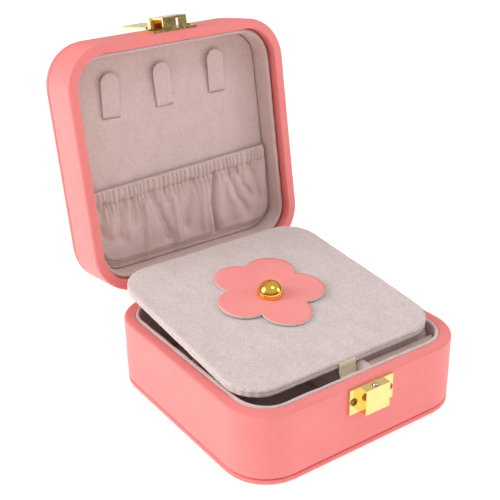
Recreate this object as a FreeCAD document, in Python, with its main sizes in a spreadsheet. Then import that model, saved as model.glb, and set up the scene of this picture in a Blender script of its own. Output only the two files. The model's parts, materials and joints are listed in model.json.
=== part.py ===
import FreeCAD, Part
import math
import os
import Sketcher
from FreeCAD import Placement, Rotation, Vector

# A travel jewelry box: a hinged lid, a loose cover board with a flower, soft compartments
# and a brass hasp. Millimetres; +Z up, the clasp faces -Y, the hinges are at +Y, and the
# origin is the middle of the underside. The lid is drawn shut, then turned open about its
# hinge pins; the cover board is drawn lying on the lining, then raised at the back.

doc = FreeCAD.newDocument("JewelryBox")
sheet = doc.addObject("Spreadsheet::Sheet", "Sizes")
SIZES = {
    # the case
    "case_side": 100.0, "case_corner": 17.4, "base_height": 28.3, "lid_height": 21.3,
    "lid_gap": 0.4, "leather": 0.8, "base_rim": 4.6, "lid_rim": 4.1, "end_panel": 1.8,
    "panel_round": 0.5, "groove_tall": 0.7, "groove_deep": 0.6, "rim_lap": 4.0,
    "edge_round": 1.1,
    # the velvet insides
    "inner_board": 1.6, "floor_pad": 1.4, "base_lining": 1.6, "lining_stand": 0.5,
    "lid_lining": 1.8, "recess_play": 0.5, "lid_foam": 2.4, "lid_card": 2.5,
    "lining_full": 0.45, "rib_thick": 5.4, "rib_place": 5.6, "rib_drop": 1.2,
    "cross_thick": 4.0, "cross_place": 2.0, "cross_drop": 4.0, "rib_full": 0.42,
    "roll_count": 5, "roll_drop": 2.6, "roll_gap": 0.2, "roll_full": 0.46,
    # the hinges
    "pin_behind": 2.9, "pin_drop": 1.5, "lid_open": 98.75, "leaf_thick": 0.8,
    "leaf_wide": 16.0, "leaf_tall": 9.0, "leaf_up": 0.2, "knuckle_round": 1.9,
    "pin_round": 0.8, "pin_play": 0.06, "hinge_in": 0.2, "knuckle_gap": 0.35,
    "tongue_thick": 1.0, "leaf_off": 0.4, "screw_round": 0.7, "screw_play": 0.05,
    "screw_head": 1.5, "screw_deep": 2.6, "head_thick": 0.5, "head_full": 0.6,
    "leaf_screws": 10.0,
    # the clasp
    "clasp_wide": 20.0, "clasp_tall": 10.0, "clasp_thick": 1.0, "clasp_edge": 1.0,
    "clasp_screws": 16.4, "block_wide": 11.0, "block_deep": 3.4, "ball_round": 1.25,
    "ball_show": 0.9, "ball_play": 0.08, "ball_bore": 7.0, "wire_round": 0.16,
    "spring_round": 0.9, "spring_seat": 0.1, "spring_turns": 5, "hood_deep": 4.6,
    "hood_long": 8.2, "hood_wide": 10.8, "hood_wall": 0.9, "slot_wide": 1.3,
    "slot_place": 1.2, "lug_thick": 1.5, "lug_gap": 0.3, "flap_thick": 1.0,
    "flap_short": 0.1, "flap_clear": 0.4, "flap_off": 0.6, "flap_jog": 3.2,
    "jog_gap": 0.3, "jog_root": 0.6, "jog_back": 0.9, "jog_step": 0.4, "jog_lap": 0.1,
    "flap_knuckle": 1.3, "flap_pin": 0.55,
    # the cover board
    "cover_gap": 0.7, "cover_ease": 0.9, "cover_thick": 3.3, "cover_play": 0.3,
    "cover_tilt": 5.9, "cover_back": 6.1, "cover_sink": 0.55, "cover_across": -0.4,
    "velvet": 0.7, "velvet_full": 0.9, "stud_across": -1.0, "stud_along": 1.5,
    "stud_round": 5.1, "stud_skirt": 0.5, "flower_right": 0.8, "flower_back": 2.7,
    "flower_lift": 0.3, "flower_heart": 8.0, "petal_out": 13.7, "petal_round": 9.6,
    "petal_count": 5, "petal_turn": 46.9, "petal_thick": 0.8,
    "shank_round": 1.0, "washer_round": 3.0, "washer_thick": 0.4, "ribbon_wide": 7.6,
    "ribbon_thick": 0.5, "ribbon_place": -1.2, "ribbon_hang": 5.2, "ribbon_out": 1.3,
    "ribbon_bend": 0.3, "ribbon_slant": 0.2,
    # the lid's necklace tabs and pocket
    "tab_wide": 8.0, "tab_long": 17.8, "tab_thick": 1.2, "tab_pitch": 25.0,
    "tab_shift": -2.1, "tab_margin": 6.4, "tab_full": 0.49, "pocket_tall": 34.0,
    "pocket_band": 5.6, "pocket_puff": 2.6, "pocket_margin": 2.1, "pocket_corner": 9.0,
    "pocket_gap": 0.1,
}
for row, (name, number) in enumerate(SIZES.items(), start=1):
    sheet.set("A%d" % row, name)
    sheet.set("B%d" % row, str(number))
    sheet.setAlias("B%d" % row, name)
doc.recompute()


def bound(text):
    """An expression in which each {name} reads the sheet."""
    return text.replace("{", "<<Sizes>>.").replace("}", "")


def first(text):
    """The number an expression starts at, for drawing a sketch before it is solved."""
    for name, number in SIZES.items():
        text = text.replace("{%s}" % name, "(%r)" % number)
    return FreeCAD.Units.Quantity(text).Value


# Heights and insets that several pieces share.
HALF = "{case_side}/2"
RIM_TOP = "{base_height}"
LID_RIM = "({base_height}+{lid_gap})"
LID_TOP = "({base_height}+{lid_gap}+{lid_height})"
FLOOR_TOP = "({end_panel}+{inner_board})"
PAD_TOP = "({end_panel}+{inner_board}+{floor_pad})"
BASE_IN = "({base_rim}+{base_lining})"
LID_IN = "({lid_rim}+{lid_lining})"
LINING_TOP = "({base_height}+{lining_stand})"
LID_CEILING = "({base_height}+{lid_gap}+{lid_height}-{end_panel}-{inner_board})"
BOARD_FACE = "(" + LID_CEILING + "-{lid_card}-{lid_foam})"
PIN_Y = "({case_side}/2+{pin_behind})"
PIN_Z = "({base_height}-{pin_drop})"
SEAT_Z = "({base_height}+{lining_stand}+{cover_play})"
BOARD = "(" + HALF + "-{lid_rim}-{cover_gap})"
# The flap's pin stands half way between where the flap lies open and where it lies shut.
FLAP_OUT = "(({clasp_thick}+{hood_deep}+{flap_clear}+{flap_thick}+{flap_off})/2)"
FLAP_Y = "(0-{case_side}/2-" + FLAP_OUT + ")"
FLAP_UP = "({clasp_edge}+{hood_long}+{jog_gap}+{flap_jog})"
FLAP_Z = "({base_height}+{lid_gap}+" + FLAP_UP + ")"
NEAR = 1e-4         # how far off an edge may lie and still count as on a plane
LEAST = 0.01        # the smallest volume a sound piece may have
ANY_TURN = 10       # a first angle for a placement that an expression then sets


def new_body(label):
    body = doc.addObject("PartDesign::Body", label)
    body.Label = label
    body.AllowCompound = True
    return body


def new_sketch(body, plane="XY_Plane", lift="0"):
    """A sketch on one of the body's own planes, moved along the plane's normal."""
    sketch = body.newObject("Sketcher::SketchObject", body.Label + "_sketch")
    origin = [f for f in body.Origin.OriginFeatures if f.Role == plane][0]
    sketch.AttachmentSupport = [(origin, "")]
    sketch.MapMode = "FlatFace"
    if lift != "0":
        sketch.setExpression("AttachmentOffset.Base.z", bound(lift))
    return sketch


def across(sketch, geometry, point, text, axis):
    """Hold one coordinate of a point at an expression measured from the origin."""
    kind = "Distance" + axis
    start = first(text)
    if start >= 0:
        limit = Sketcher.Constraint(kind, -1, 1, geometry, point, start)
        index = sketch.addConstraint(limit)
        sketch.setExpression("Constraints[%d]" % index, bound(text))
        return
    limit = Sketcher.Constraint(kind, geometry, point, -1, 1, -start)
    index = sketch.addConstraint(limit)
    sketch.setExpression("Constraints[%d]" % index, bound("-(" + text + ")"))


def circle(sketch, x, y, radius):
    shape = Part.Circle(Vector(first(x), first(y), 0), Vector(0, 0, 1), first(radius))
    geometry = sketch.addGeometry(shape, False)
    across(sketch, geometry, 3, x, "X")
    across(sketch, geometry, 3, y, "Y")
    index = sketch.addConstraint(Sketcher.Constraint("Radius", geometry, first(radius)))
    sketch.setExpression("Constraints[%d]" % index, bound(radius))


def polygon(sketch, corners):
    """A closed outline through corners given as pairs of expressions."""
    points = [Vector(first(x), first(y), 0) for x, y in corners]
    lines = []
    for here, there in zip(points, points[1:] + points[:1]):
        lines.append(sketch.addGeometry(Part.LineSegment(here, there), False))
    for line, after in zip(lines, lines[1:] + lines[:1]):
        sketch.addConstraint(Sketcher.Constraint("Coincident", line, 2, after, 1))
    for line, (x, y) in zip(lines, corners):
        across(sketch, line, 1, x, "X")
        across(sketch, line, 1, y, "Y")


def rounded(sketch, x0, x1, y0, y1, radius):
    """A rectangle with four equal round corners."""
    left, right, low, high, r = [first(t) for t in (x0, x1, y0, y1, radius)]
    ends = [(left + r, low, right - r, low), (right, low + r, right, high - r),
            (right - r, high, left + r, high), (left, high - r, left, low + r)]
    middles = [(right - r, low + r), (right - r, high - r), (left + r, high - r),
               (left + r, low + r)]
    lines, arcs = [], []
    for turn, ((ax, ay, bx, by), (cx, cy)) in enumerate(zip(ends, middles)):
        segment = Part.LineSegment(Vector(ax, ay, 0), Vector(bx, by, 0))
        lines.append(sketch.addGeometry(segment, False))
        whole = Part.Circle(Vector(cx, cy, 0), Vector(0, 0, 1), r)
        start = (turn - 1) * math.pi / 2
        arcs.append(sketch.addGeometry(Part.ArcOfCircle(whole, start, start + math.pi / 2), False))
    for turn in range(4):
        after = lines[(turn + 1) % 4]
        sketch.addConstraint(Sketcher.Constraint("Tangent", lines[turn], 2, arcs[turn], 1))
        sketch.addConstraint(Sketcher.Constraint("Tangent", arcs[turn], 2, after, 1))
        level = "Vertical" if turn % 2 else "Horizontal"
        sketch.addConstraint(Sketcher.Constraint(level, lines[turn]))
        if turn:
            sketch.addConstraint(Sketcher.Constraint("Equal", arcs[0], arcs[turn]))
    index = sketch.addConstraint(Sketcher.Constraint("Radius", arcs[0], r))
    sketch.setExpression("Constraints[%d]" % index, bound(radius))
    across(sketch, lines[0], 1, y0, "Y")
    across(sketch, lines[2], 1, y1, "Y")
    across(sketch, lines[1], 1, x1, "X")
    across(sketch, lines[3], 1, x0, "X")


def square(sketch, inset, side=HALF, corner="{case_corner}"):
    """The rounded outline of the case, or of the cover board, drawn in by an inset."""
    reach = "(" + side + "-" + inset + ")"
    rounded(sketch, "0-" + reach, reach, "0-" + reach, reach, corner + "-" + inset)


def box(sketch, x0, x1, y0, y1):
    polygon(sketch, [(x0, y0), (x1, y0), (x1, y1), (x0, y1)])


def pad(body, sketch, length, back=False):
    """Add material along the sketch's normal, or against it."""
    doc.recompute()
    feature = body.newObject("PartDesign::Pad", body.Label + "_solid")
    feature.Profile = sketch
    feature.setExpression("Length", bound(length))
    feature.Reversed = back
    doc.recompute()
    return feature


def pocket(body, sketch, length, forward=False):
    """Cut against the sketch's normal, or along it; the cut must remove something."""
    doc.recompute()
    before = body.Shape.Volume
    feature = body.newObject("PartDesign::Pocket", body.Label + "_cut")
    feature.Profile = sketch
    feature.setExpression("Length", bound(length))
    feature.Reversed = forward
    doc.recompute()
    assert body.Shape.Volume < before - NEAR, "%s: a cut missed" % body.Label
    return feature


def soften(body, radius, wanted):
    """Round every edge of the body so far for which wanted(edge) holds."""
    doc.recompute()
    last = body.Tip
    names = ["Edge%d" % (n + 1) for n, edge in enumerate(last.Shape.Edges) if wanted(edge)]
    assert names, "%s: nothing to round" % body.Label
    feature = body.newObject("PartDesign::Fillet", body.Label + "_round")
    feature.Base = (last, names)
    feature.setExpression("Radius", bound(radius))
    doc.recompute()
    return feature


def at_height(text, inset=None, side=HALF):
    """Edges that lie flat at one height, or only those on one inset outline."""
    level = first(text)
    reach = None if inset is None else first(side + "-" + inset)

    def wanted(edge):
        low, high = edge.BoundBox.ZMin, edge.BoundBox.ZMax
        if abs(low - level) > NEAR or abs(high - level) > NEAR:
            return False
        if reach is None:
            return True
        far = max(abs(edge.BoundBox.XMin), abs(edge.BoundBox.XMax),
                  abs(edge.BoundBox.YMin), abs(edge.BoundBox.YMax))
        return abs(far - reach) < NEAR

    return wanted


def ring(body, outer, inner, low, tall):
    sketch = new_sketch(body, "XY_Plane", low)
    square(sketch, outer)
    square(sketch, inner)
    return pad(body, sketch, tall)


def plate(body, inset, low, tall):
    sketch = new_sketch(body, "XY_Plane", low)
    square(sketch, inset)
    return pad(body, sketch, tall)


def channel(body, outer, inner, low, tall, up=True):
    """Cut a groove that follows the case outline, upward from low or downward."""
    sketch = new_sketch(body, "XY_Plane", low)
    square(sketch, outer)
    square(sketch, inner)
    return pocket(body, sketch, tall, forward=up)


def drill(body, plane, lift, centres, radius, depth, forward=False):
    sketch = new_sketch(body, plane, lift)
    for x, y in centres:
        circle(sketch, x, y, radius)
    return pocket(body, sketch, depth, forward)


def block(body, plane, lift, x0, x1, y0, y1, length, back=False):
    sketch = new_sketch(body, plane, lift)
    box(sketch, x0, x1, y0, y1)
    return pad(body, sketch, length, back)


def rod(body, plane, lift, centres, radius, length, back=False):
    sketch = new_sketch(body, plane, lift)
    for x, y in centres:
        circle(sketch, x, y, radius)
    return pad(body, sketch, length, back)


def turn_open(body):
    """Swing a lid piece, drawn shut, open about the hinge pins."""
    body.Placement = Placement(Vector(0, 0, 0), Rotation(Vector(-1, 0, 0), ANY_TURN))
    turn = "{lid_open}*1deg"
    sin, cos = "sin(" + turn + ")", "cos(" + turn + ")"
    body.setExpression("Placement.Rotation.Angle", bound(turn))
    body.setExpression("Placement.Base.y", bound(
        "%s*(1-%s)-%s*%s" % (PIN_Y, cos, PIN_Z, sin)))
    body.setExpression("Placement.Base.z", bound(
        "%s*(1-%s)+%s*%s" % (PIN_Z, cos, PIN_Y, sin)))


def raise_cover(body, x="{cover_across}", y="0", z="0"):
    """Put a piece drawn at the board's underside centre onto the raised board."""
    body.Placement = Placement(Vector(0, 0, 0), Rotation(Vector(1, 0, 0), ANY_TURN))
    turn = "{cover_tilt}*1deg"
    sin, cos = "sin(" + turn + ")", "cos(" + turn + ")"
    body.setExpression("Placement.Rotation.Angle", bound(turn))
    body.setExpression("Placement.Base.x", bound(x))
    body.setExpression("Placement.Base.y", bound(
        "{cover_back}+(%s)*%s-(%s)*%s" % (y, cos, z, sin)))
    body.setExpression("Placement.Base.z", bound(
        "%s+%s*%s-{cover_sink}+(%s)*%s+(%s)*%s" % (SEAT_Z, BOARD, sin, y, sin, z, cos)))


# ---- Where the screws go -------------------------------------------------------------
CLASP_LOW = "({base_height}-{clasp_edge}-{clasp_tall})"
HASP_LOW = "({base_height}+{lid_gap}+{clasp_edge})"
CLASP_SCREWS = [("0-{clasp_screws}/2", CLASP_LOW + "+{clasp_tall}/2"),
                ("{clasp_screws}/2", CLASP_LOW + "+{clasp_tall}/2")]
HASP_SCREWS = [("0-{clasp_screws}/2", HASP_LOW + "+{clasp_tall}/2"),
               ("{clasp_screws}/2", HASP_LOW + "+{clasp_tall}/2")]
# Each hinge sits on the flat of the back, just clear of the round corner.
HINGE_AT = "(" + HALF + "-{case_corner}-{hinge_in}-{leaf_wide}/2)"
HINGE_SIDES = {"left": "(0-" + HINGE_AT + ")", "right": HINGE_AT}
TONGUE_LOW = "(" + PIN_Z + "-{knuckle_round})"
BASE_LEAF_TOP = TONGUE_LOW
LID_LEAF_LOW = "({base_height}+{lid_gap}+{leaf_up})"
BASE_LEAF_MID = "(" + BASE_LEAF_TOP + "-{leaf_tall}/2)"
LID_LEAF_MID = "(" + LID_LEAF_LOW + "+{leaf_tall}/2)"
BASE_LEAF_SCREWS, LID_LEAF_SCREWS = [], []
for side in HINGE_SIDES.values():
    for way in ("-", "+"):
        BASE_LEAF_SCREWS.append((side + way + "{leaf_screws}/2", BASE_LEAF_MID))
        LID_LEAF_SCREWS.append((side + way + "{leaf_screws}/2", LID_LEAF_MID))

# ---- Base of the case ----------------------------------------------------------------
body = new_body("base_bottom_panel")
plate(body, "0", "0", "{end_panel}")
soften(body, "{panel_round}", at_height("0"))

SHELL_TOP = "({base_height}-{leather})"
body = new_body("base_shell")
ring(body, "{leather}", "({base_rim}-{leather})", "{end_panel}", SHELL_TOP + "-{end_panel}")
drill(body, "XZ_Plane", HALF, CLASP_SCREWS, "{screw_round}", "{screw_deep}")
drill(body, "XZ_Plane", "0-" + HALF, BASE_LEAF_SCREWS, "{screw_round}", "{screw_deep}", True)

body = new_body("base_leather")
ring(body, "0", "{base_rim}", "{end_panel}", RIM_TOP + "-{end_panel}")
channel(body, "{leather}", "({base_rim}-{leather})", "{end_panel}",
        SHELL_TOP + "-{end_panel}")
channel(body, "({base_rim}-{leather}-%g)" % NEAR, "{base_rim}", "{end_panel}",
        RIM_TOP + "-{rim_lap}-{end_panel}")
channel(body, "0", "{groove_deep}", "{end_panel}", "{groove_tall}")
drill(body, "XZ_Plane", HALF, CLASP_SCREWS, "{screw_round}", "{leather}")
drill(body, "XZ_Plane", "0-" + HALF, BASE_LEAF_SCREWS, "{screw_round}", "{leather}", True)
soften(body, "{edge_round}", at_height(RIM_TOP, "0"))

body = new_body("base_floor_board")
plate(body, "({base_rim}-{leather})", "{end_panel}", "{inner_board}")

body = new_body("base_lining")
ring(body, "{base_rim}", BASE_IN, FLOOR_TOP, LINING_TOP + "-" + FLOOR_TOP)
soften(body, "{base_lining}*{lining_full}", at_height(LINING_TOP))

body = new_body("base_floor_pad")
plate(body, BASE_IN, FLOOR_TOP, "{floor_pad}")

INSIDE = "(" + HALF + "-" + BASE_IN + ")"
RIB_LEFT = "({rib_place}-{rib_thick}/2)"
RIB_RIGHT = "({rib_place}+{rib_thick}/2)"
RIB_TOP = "(" + LINING_TOP + "-{rib_drop})"
body = new_body("middle_divider")
block(body, "XY_Plane", PAD_TOP, RIB_LEFT, RIB_RIGHT, "0-" + INSIDE, INSIDE,
      RIB_TOP + "-" + PAD_TOP)
soften(body, "{rib_thick}*{rib_full}", at_height(RIB_TOP))

CROSS_FRONT = "({cross_place}-{cross_thick}/2)"
CROSS_TOP = "(" + LINING_TOP + "-{cross_drop})"
for label, x0, x1 in (("left_cross_divider", "0-" + INSIDE, RIB_LEFT),
                      ("right_cross_divider", RIB_RIGHT, INSIDE)):
    body = new_body(label)
    block(body, "XY_Plane", PAD_TOP, x0, x1, CROSS_FRONT, CROSS_FRONT + "+{cross_thick}",
          CROSS_TOP + "-" + PAD_TOP)
    soften(body, "{cross_thick}*{rib_full}", at_height(CROSS_TOP))

PITCH = "((" + INSIDE + "+" + CROSS_FRONT + ")/{roll_count})"
ROLL_TOP = "(" + LINING_TOP + "-{roll_drop})"
for n in range(int(SIZES["roll_count"])):
    body = new_body("ring_roll_%d" % (n + 1))
    sketch = new_sketch(body, "YZ_Plane", RIB_RIGHT + "+{roll_gap}/2")
    front = "(0-%s+%d*%s+{roll_gap}/2)" % (INSIDE, n, PITCH)
    rear = "(%s+%s-{roll_gap})" % (front, PITCH)
    rounded(sketch, front, rear, PAD_TOP, ROLL_TOP, "((%s-{roll_gap})*{roll_full})" % PITCH)
    pad(body, sketch, HALF + "-" + RIB_RIGHT)
    sketch = new_sketch(body, "XY_Plane", PAD_TOP)
    box(sketch, "0-{case_side}", "{case_side}", "0-{case_side}", "{case_side}")
    square(sketch, "(" + BASE_IN + "+{roll_gap})")
    pocket(body, sketch, ROLL_TOP + "-" + PAD_TOP, True)

# ---- Catch on the front of the base --------------------------------------------------
CLASP_FACE = "(" + HALF + "+{clasp_thick})"
BALL_Y = "(0-" + HALF + "-{clasp_thick}-{block_deep}/2)"
CLASP_TOP = "(" + CLASP_LOW + "+{clasp_tall})"
BALL_Z = "(" + CLASP_TOP + "+{ball_show}-{ball_round})"
body = new_body("catch_plate")
block(body, "XZ_Plane", HALF, "0-{clasp_wide}/2", "{clasp_wide}/2", CLASP_LOW, CLASP_TOP,
      "{clasp_thick}")
block(body, "XZ_Plane", CLASP_FACE, "0-{block_wide}/2", "{block_wide}/2", CLASP_LOW,
      CLASP_TOP, "{block_deep}")
drill(body, "XZ_Plane", CLASP_FACE, CLASP_SCREWS, "{screw_round}+{screw_play}", "{clasp_thick}")
drill(body, "XY_Plane", CLASP_TOP, [("0", BALL_Y)], "{ball_round}+{ball_play}",
      "{ball_bore}")

body = new_body("catch_ball")
ball = body.newObject("PartDesign::AdditiveSphere", "catch_ball_sphere")
ball.setExpression("Radius", bound("{ball_round}"))
ball.setExpression("Placement.Base.y", bound(BALL_Y))
ball.setExpression("Placement.Base.z", bound(BALL_Z))
doc.recompute()

SPRING_LOW = "(" + CLASP_TOP + "-{ball_bore}+{spring_seat})"
SPRING_TALL = "(" + BALL_Z + "-{ball_round}-" + SPRING_LOW + "-2*{wire_round})"
body = new_body("catch_spring")
sketch = new_sketch(body, "XZ_Plane")
circle(sketch, "{spring_round}", "{wire_round}", "{wire_round}")
doc.recompute()
coil = body.newObject("PartDesign::AdditiveHelix", "catch_spring_coil")
coil.Profile = sketch
coil.ReferenceAxis = (sketch, ["V_Axis"])
coil.Mode = "pitch-height-angle"
coil.setExpression("Pitch", bound(SPRING_TALL + "/{spring_turns}"))
coil.setExpression("Height", bound(SPRING_TALL))
body.setExpression("Placement.Base.y", bound(BALL_Y))
body.setExpression("Placement.Base.z", bound(SPRING_LOW))
doc.recompute()


def screws(label, plane, lift, centres, outward):
    """A set of screws: dome heads on a face at lift, shanks going the other way."""
    body = new_body(label)
    rod(body, plane, lift, centres, "{screw_head}", "{head_thick}", not outward)
    rod(body, plane, lift, centres, "{screw_round}", "{screw_deep}", outward)
    doc.recompute()
    face = first(lift) + (first("{head_thick}") if outward else -first("{head_thick}"))

    def outer(edge):
        near, far = -edge.BoundBox.YMin, -edge.BoundBox.YMax
        return abs(near - face) < NEAR and abs(far - face) < NEAR

    soften(body, "{head_thick}*{head_full}", outer)
    return body


screws("catch_screws", "XZ_Plane", CLASP_FACE, CLASP_SCREWS, True)

# ---- Two butt hinges on the back -----------------------------------------------------
KNUCKLE = "(({leaf_wide}-2*{knuckle_gap})/3)"
for name, middle in HINGE_SIDES.items():
    leaf_left = "(" + middle + "-{leaf_wide}/2)"
    leaf_right = "(" + middle + "+{leaf_wide}/2)"
    centre_left = "(" + leaf_left + "+" + KNUCKLE + "+{knuckle_gap})"
    outer_left = "(" + leaf_right + "-" + KNUCKLE + ")"
    base_screws = BASE_LEAF_SCREWS[:2] if name == "left" else BASE_LEAF_SCREWS[2:]
    lid_screws = LID_LEAF_SCREWS[:2] if name == "left" else LID_LEAF_SCREWS[2:]

    body = new_body("hinge_base_leaf_" + name)
    block(body, "XZ_Plane", "0-" + HALF, leaf_left, leaf_right,
          BASE_LEAF_TOP + "-{leaf_tall}", BASE_LEAF_TOP + "+{tongue_thick}",
          "{leaf_thick}", True)
    for start in (leaf_left, outer_left):
        block(body, "YZ_Plane", start, HALF + "+{leaf_thick}/2", PIN_Y, TONGUE_LOW,
              TONGUE_LOW + "+{tongue_thick}", KNUCKLE)
        rod(body, "YZ_Plane", start, [(PIN_Y, PIN_Z)], "{knuckle_round}", KNUCKLE)
    drill(body, "YZ_Plane", leaf_right, [(PIN_Y, PIN_Z)], "{pin_round}", "{leaf_wide}")
    drill(body, "XZ_Plane", "0-" + HALF, base_screws, "{screw_round}+{screw_play}",
          "{leaf_thick}")

    body = new_body("hinge_lid_leaf_" + name)
    turn_open(body)
    block(body, "XZ_Plane", "0-" + HALF, leaf_left, leaf_right, LID_LEAF_LOW,
          LID_LEAF_LOW + "+{leaf_tall}", "{leaf_thick}", True)
    block(body, "YZ_Plane", centre_left, HALF + "+{leaf_off}", PIN_Y,
          PIN_Z + "+{knuckle_round}-{tongue_thick}", LID_LEAF_LOW + "+{tongue_thick}",
          KNUCKLE)
    rod(body, "YZ_Plane", centre_left, [(PIN_Y, PIN_Z)], "{knuckle_round}", KNUCKLE)
    drill(body, "YZ_Plane", centre_left + "+" + KNUCKLE, [(PIN_Y, PIN_Z)],
          "{pin_round}+{pin_play}", KNUCKLE)
    drill(body, "XZ_Plane", "0-" + HALF, lid_screws, "{screw_round}+{screw_play}",
          "{leaf_thick}")

    body = new_body("hinge_pin_" + name)
    rod(body, "YZ_Plane", leaf_left, [(PIN_Y, PIN_Z)], "{pin_round}", "{leaf_wide}")

LEAF_FACE = "0-" + HALF + "-{leaf_thick}"
screws("hinge_base_screws", "XZ_Plane", LEAF_FACE, BASE_LEAF_SCREWS, False)
body = screws("hinge_lid_screws", "XZ_Plane", LEAF_FACE, LID_LEAF_SCREWS, False)
turn_open(body)

# ---- Lid -----------------------------------------------------------------------------
PANEL_LOW = "(" + LID_TOP + "-{end_panel})"
LID_SHELL_LOW = "(" + LID_RIM + "+{leather})"
body = new_body("lid_top_panel")
turn_open(body)
plate(body, "0", PANEL_LOW, "{end_panel}")
soften(body, "{panel_round}", at_height(LID_TOP))

body = new_body("lid_shell")
turn_open(body)
ring(body, "{leather}", "({lid_rim}-{leather})", LID_SHELL_LOW,
     PANEL_LOW + "-" + LID_SHELL_LOW)
drill(body, "XZ_Plane", HALF, HASP_SCREWS, "{screw_round}", "{screw_deep}")
drill(body, "XZ_Plane", "0-" + HALF, LID_LEAF_SCREWS, "{screw_round}", "{screw_deep}", True)

body = new_body("lid_leather")
turn_open(body)
ring(body, "0", "{lid_rim}", LID_RIM, PANEL_LOW + "-" + LID_RIM)
channel(body, "{leather}", "({lid_rim}-{leather})", PANEL_LOW,
        PANEL_LOW + "-" + LID_SHELL_LOW, False)
channel(body, "({lid_rim}-{leather}-%g)" % NEAR, "{lid_rim}", PANEL_LOW,
        PANEL_LOW + "-" + LID_RIM + "-{rim_lap}", False)
channel(body, "0", "{groove_deep}", PANEL_LOW, "{groove_tall}", False)
drill(body, "XZ_Plane", HALF, HASP_SCREWS, "{screw_round}", "{leather}")
drill(body, "XZ_Plane", "0-" + HALF, LID_LEAF_SCREWS, "{screw_round}", "{leather}", True)
soften(body, "{edge_round}", at_height(LID_RIM, "0"))

body = new_body("lid_inner_board")
turn_open(body)
plate(body, "({lid_rim}-{leather})", LID_CEILING, "{inner_board}")

LID_LINING_LOW = "(" + SEAT_Z + "+{cover_thick}+{recess_play})"
body = new_body("lid_lining")
turn_open(body)
ring(body, "{lid_rim}", LID_IN, LID_LINING_LOW, LID_CEILING + "-" + LID_LINING_LOW)
soften(body, "{lid_lining}*{lining_full}", at_height(LID_LINING_LOW))

body = new_body("lid_lining_pad")
turn_open(body)
plate(body, LID_IN, BOARD_FACE, "{lid_foam}")

body = new_body("lid_lining_card")
turn_open(body)
plate(body, LID_IN, BOARD_FACE + "+{lid_foam}", "{lid_card}")

LINED = "(" + HALF + "-" + LID_IN + ")"
TAB_TOP = "(0-" + LINED + "+{tab_margin})"
TAB_LOW = "(" + TAB_TOP + "+{tab_long})"
TABS = ("necklace_tab_left", "necklace_tab_middle", "necklace_tab_right")
for place, label in enumerate(TABS):
    body = new_body(label)
    turn_open(body)
    centre = "({tab_shift}+%d*{tab_pitch})" % (place - 1)
    sketch = new_sketch(body, "XY_Plane", BOARD_FACE)
    rounded(sketch, centre + "-{tab_wide}/2", centre + "+{tab_wide}/2",
            TAB_TOP, TAB_LOW, "{tab_wide}*{tab_full}")
    pad(body, sketch, "{tab_thick}", True)
    block(body, "XY_Plane", BOARD_FACE, centre + "-{tab_wide}/2", centre + "+{tab_wide}/2",
          TAB_LOW + "-{tab_wide}/2", TAB_LOW, "{tab_thick}", True)

POCKET_OUT = "(" + LINED + "-{pocket_gap})"
POCKET_LOW = "(" + LINED + "-{pocket_margin})"
POCKET_TOP = "(" + POCKET_LOW + "-{pocket_tall})"
BAND_LOW = "(" + POCKET_TOP + "+{pocket_band})"
body = new_body("pocket_band")
turn_open(body)
block(body, "XY_Plane", BOARD_FACE, "0-" + POCKET_OUT, POCKET_OUT, POCKET_TOP, BAND_LOW,
      "{pocket_puff}", True)

body = new_body("gathered_pocket")
turn_open(body)
sketch = new_sketch(body, "XY_Plane", BOARD_FACE)
rounded(sketch, "0-" + POCKET_OUT, POCKET_OUT, BAND_LOW, POCKET_LOW, "{pocket_corner}")
pad(body, sketch, "{pocket_puff}", True)
block(body, "XY_Plane", BOARD_FACE, "0-" + POCKET_OUT, POCKET_OUT, BAND_LOW,
      BAND_LOW + "+{pocket_corner}", "{pocket_puff}", True)

# ---- Hasp on the front of the lid ----------------------------------------------------
HASP_TOP = "(" + HASP_LOW + "+{clasp_tall})"
HOOD_OUT = "({case_side}/2+{clasp_thick}+{hood_deep})"
FLAP_KNUCKLE = "({hood_wide}-2*{lug_thick}-2*{lug_gap})"
body = new_body("hasp_plate")
turn_open(body)
block(body, "XZ_Plane", HALF, "0-{clasp_wide}/2", "{clasp_wide}/2", HASP_LOW, HASP_TOP,
      "{clasp_thick}")
block(body, "XZ_Plane", HALF, "0-{hood_wide}/2", "{hood_wide}/2", HASP_TOP,
      FLAP_Z + "+{flap_knuckle}", "{clasp_thick}")
block(body, "XZ_Plane", CLASP_FACE, "0-{hood_wide}/2", "{hood_wide}/2", HASP_LOW,
      HASP_LOW + "+{hood_wall}", "{hood_deep}")
block(body, "XZ_Plane", HOOD_OUT, "0-{hood_wide}/2", "{hood_wide}/2", HASP_LOW,
      HASP_LOW + "+{hood_long}", "{hood_wall}", True)
slot = new_sketch(body, "XZ_Plane", HOOD_OUT)
box(slot, "{slot_place}-{slot_wide}/2", "{slot_place}+{slot_wide}/2", HASP_LOW,
    HASP_LOW + "+{hood_wall}")
pocket(body, slot, "{hood_deep}")
for start in ("0-{hood_wide}/2", "{hood_wide}/2-{lug_thick}"):
    block(body, "YZ_Plane", start, FLAP_Y, "0-" + HALF + "-{clasp_thick}/2",
          FLAP_Z + "-{flap_knuckle}", FLAP_Z + "+{flap_knuckle}", "{lug_thick}")
    rod(body, "YZ_Plane", start, [(FLAP_Y, FLAP_Z)], "{flap_knuckle}", "{lug_thick}")
drill(body, "YZ_Plane", "{hood_wide}/2", [(FLAP_Y, FLAP_Z)], "{flap_pin}", "{hood_wide}")
drill(body, "XZ_Plane", CLASP_FACE, HASP_SCREWS, "{screw_round}+{screw_play}", "{clasp_thick}")

body = screws("hasp_screws", "XZ_Plane", CLASP_FACE, HASP_SCREWS, True)
turn_open(body)

body = new_body("flap_pin")
turn_open(body)
rod(body, "YZ_Plane", "0-{hood_wide}/2", [(FLAP_Y, FLAP_Z)], "{flap_pin}", "{hood_wide}")

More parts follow.
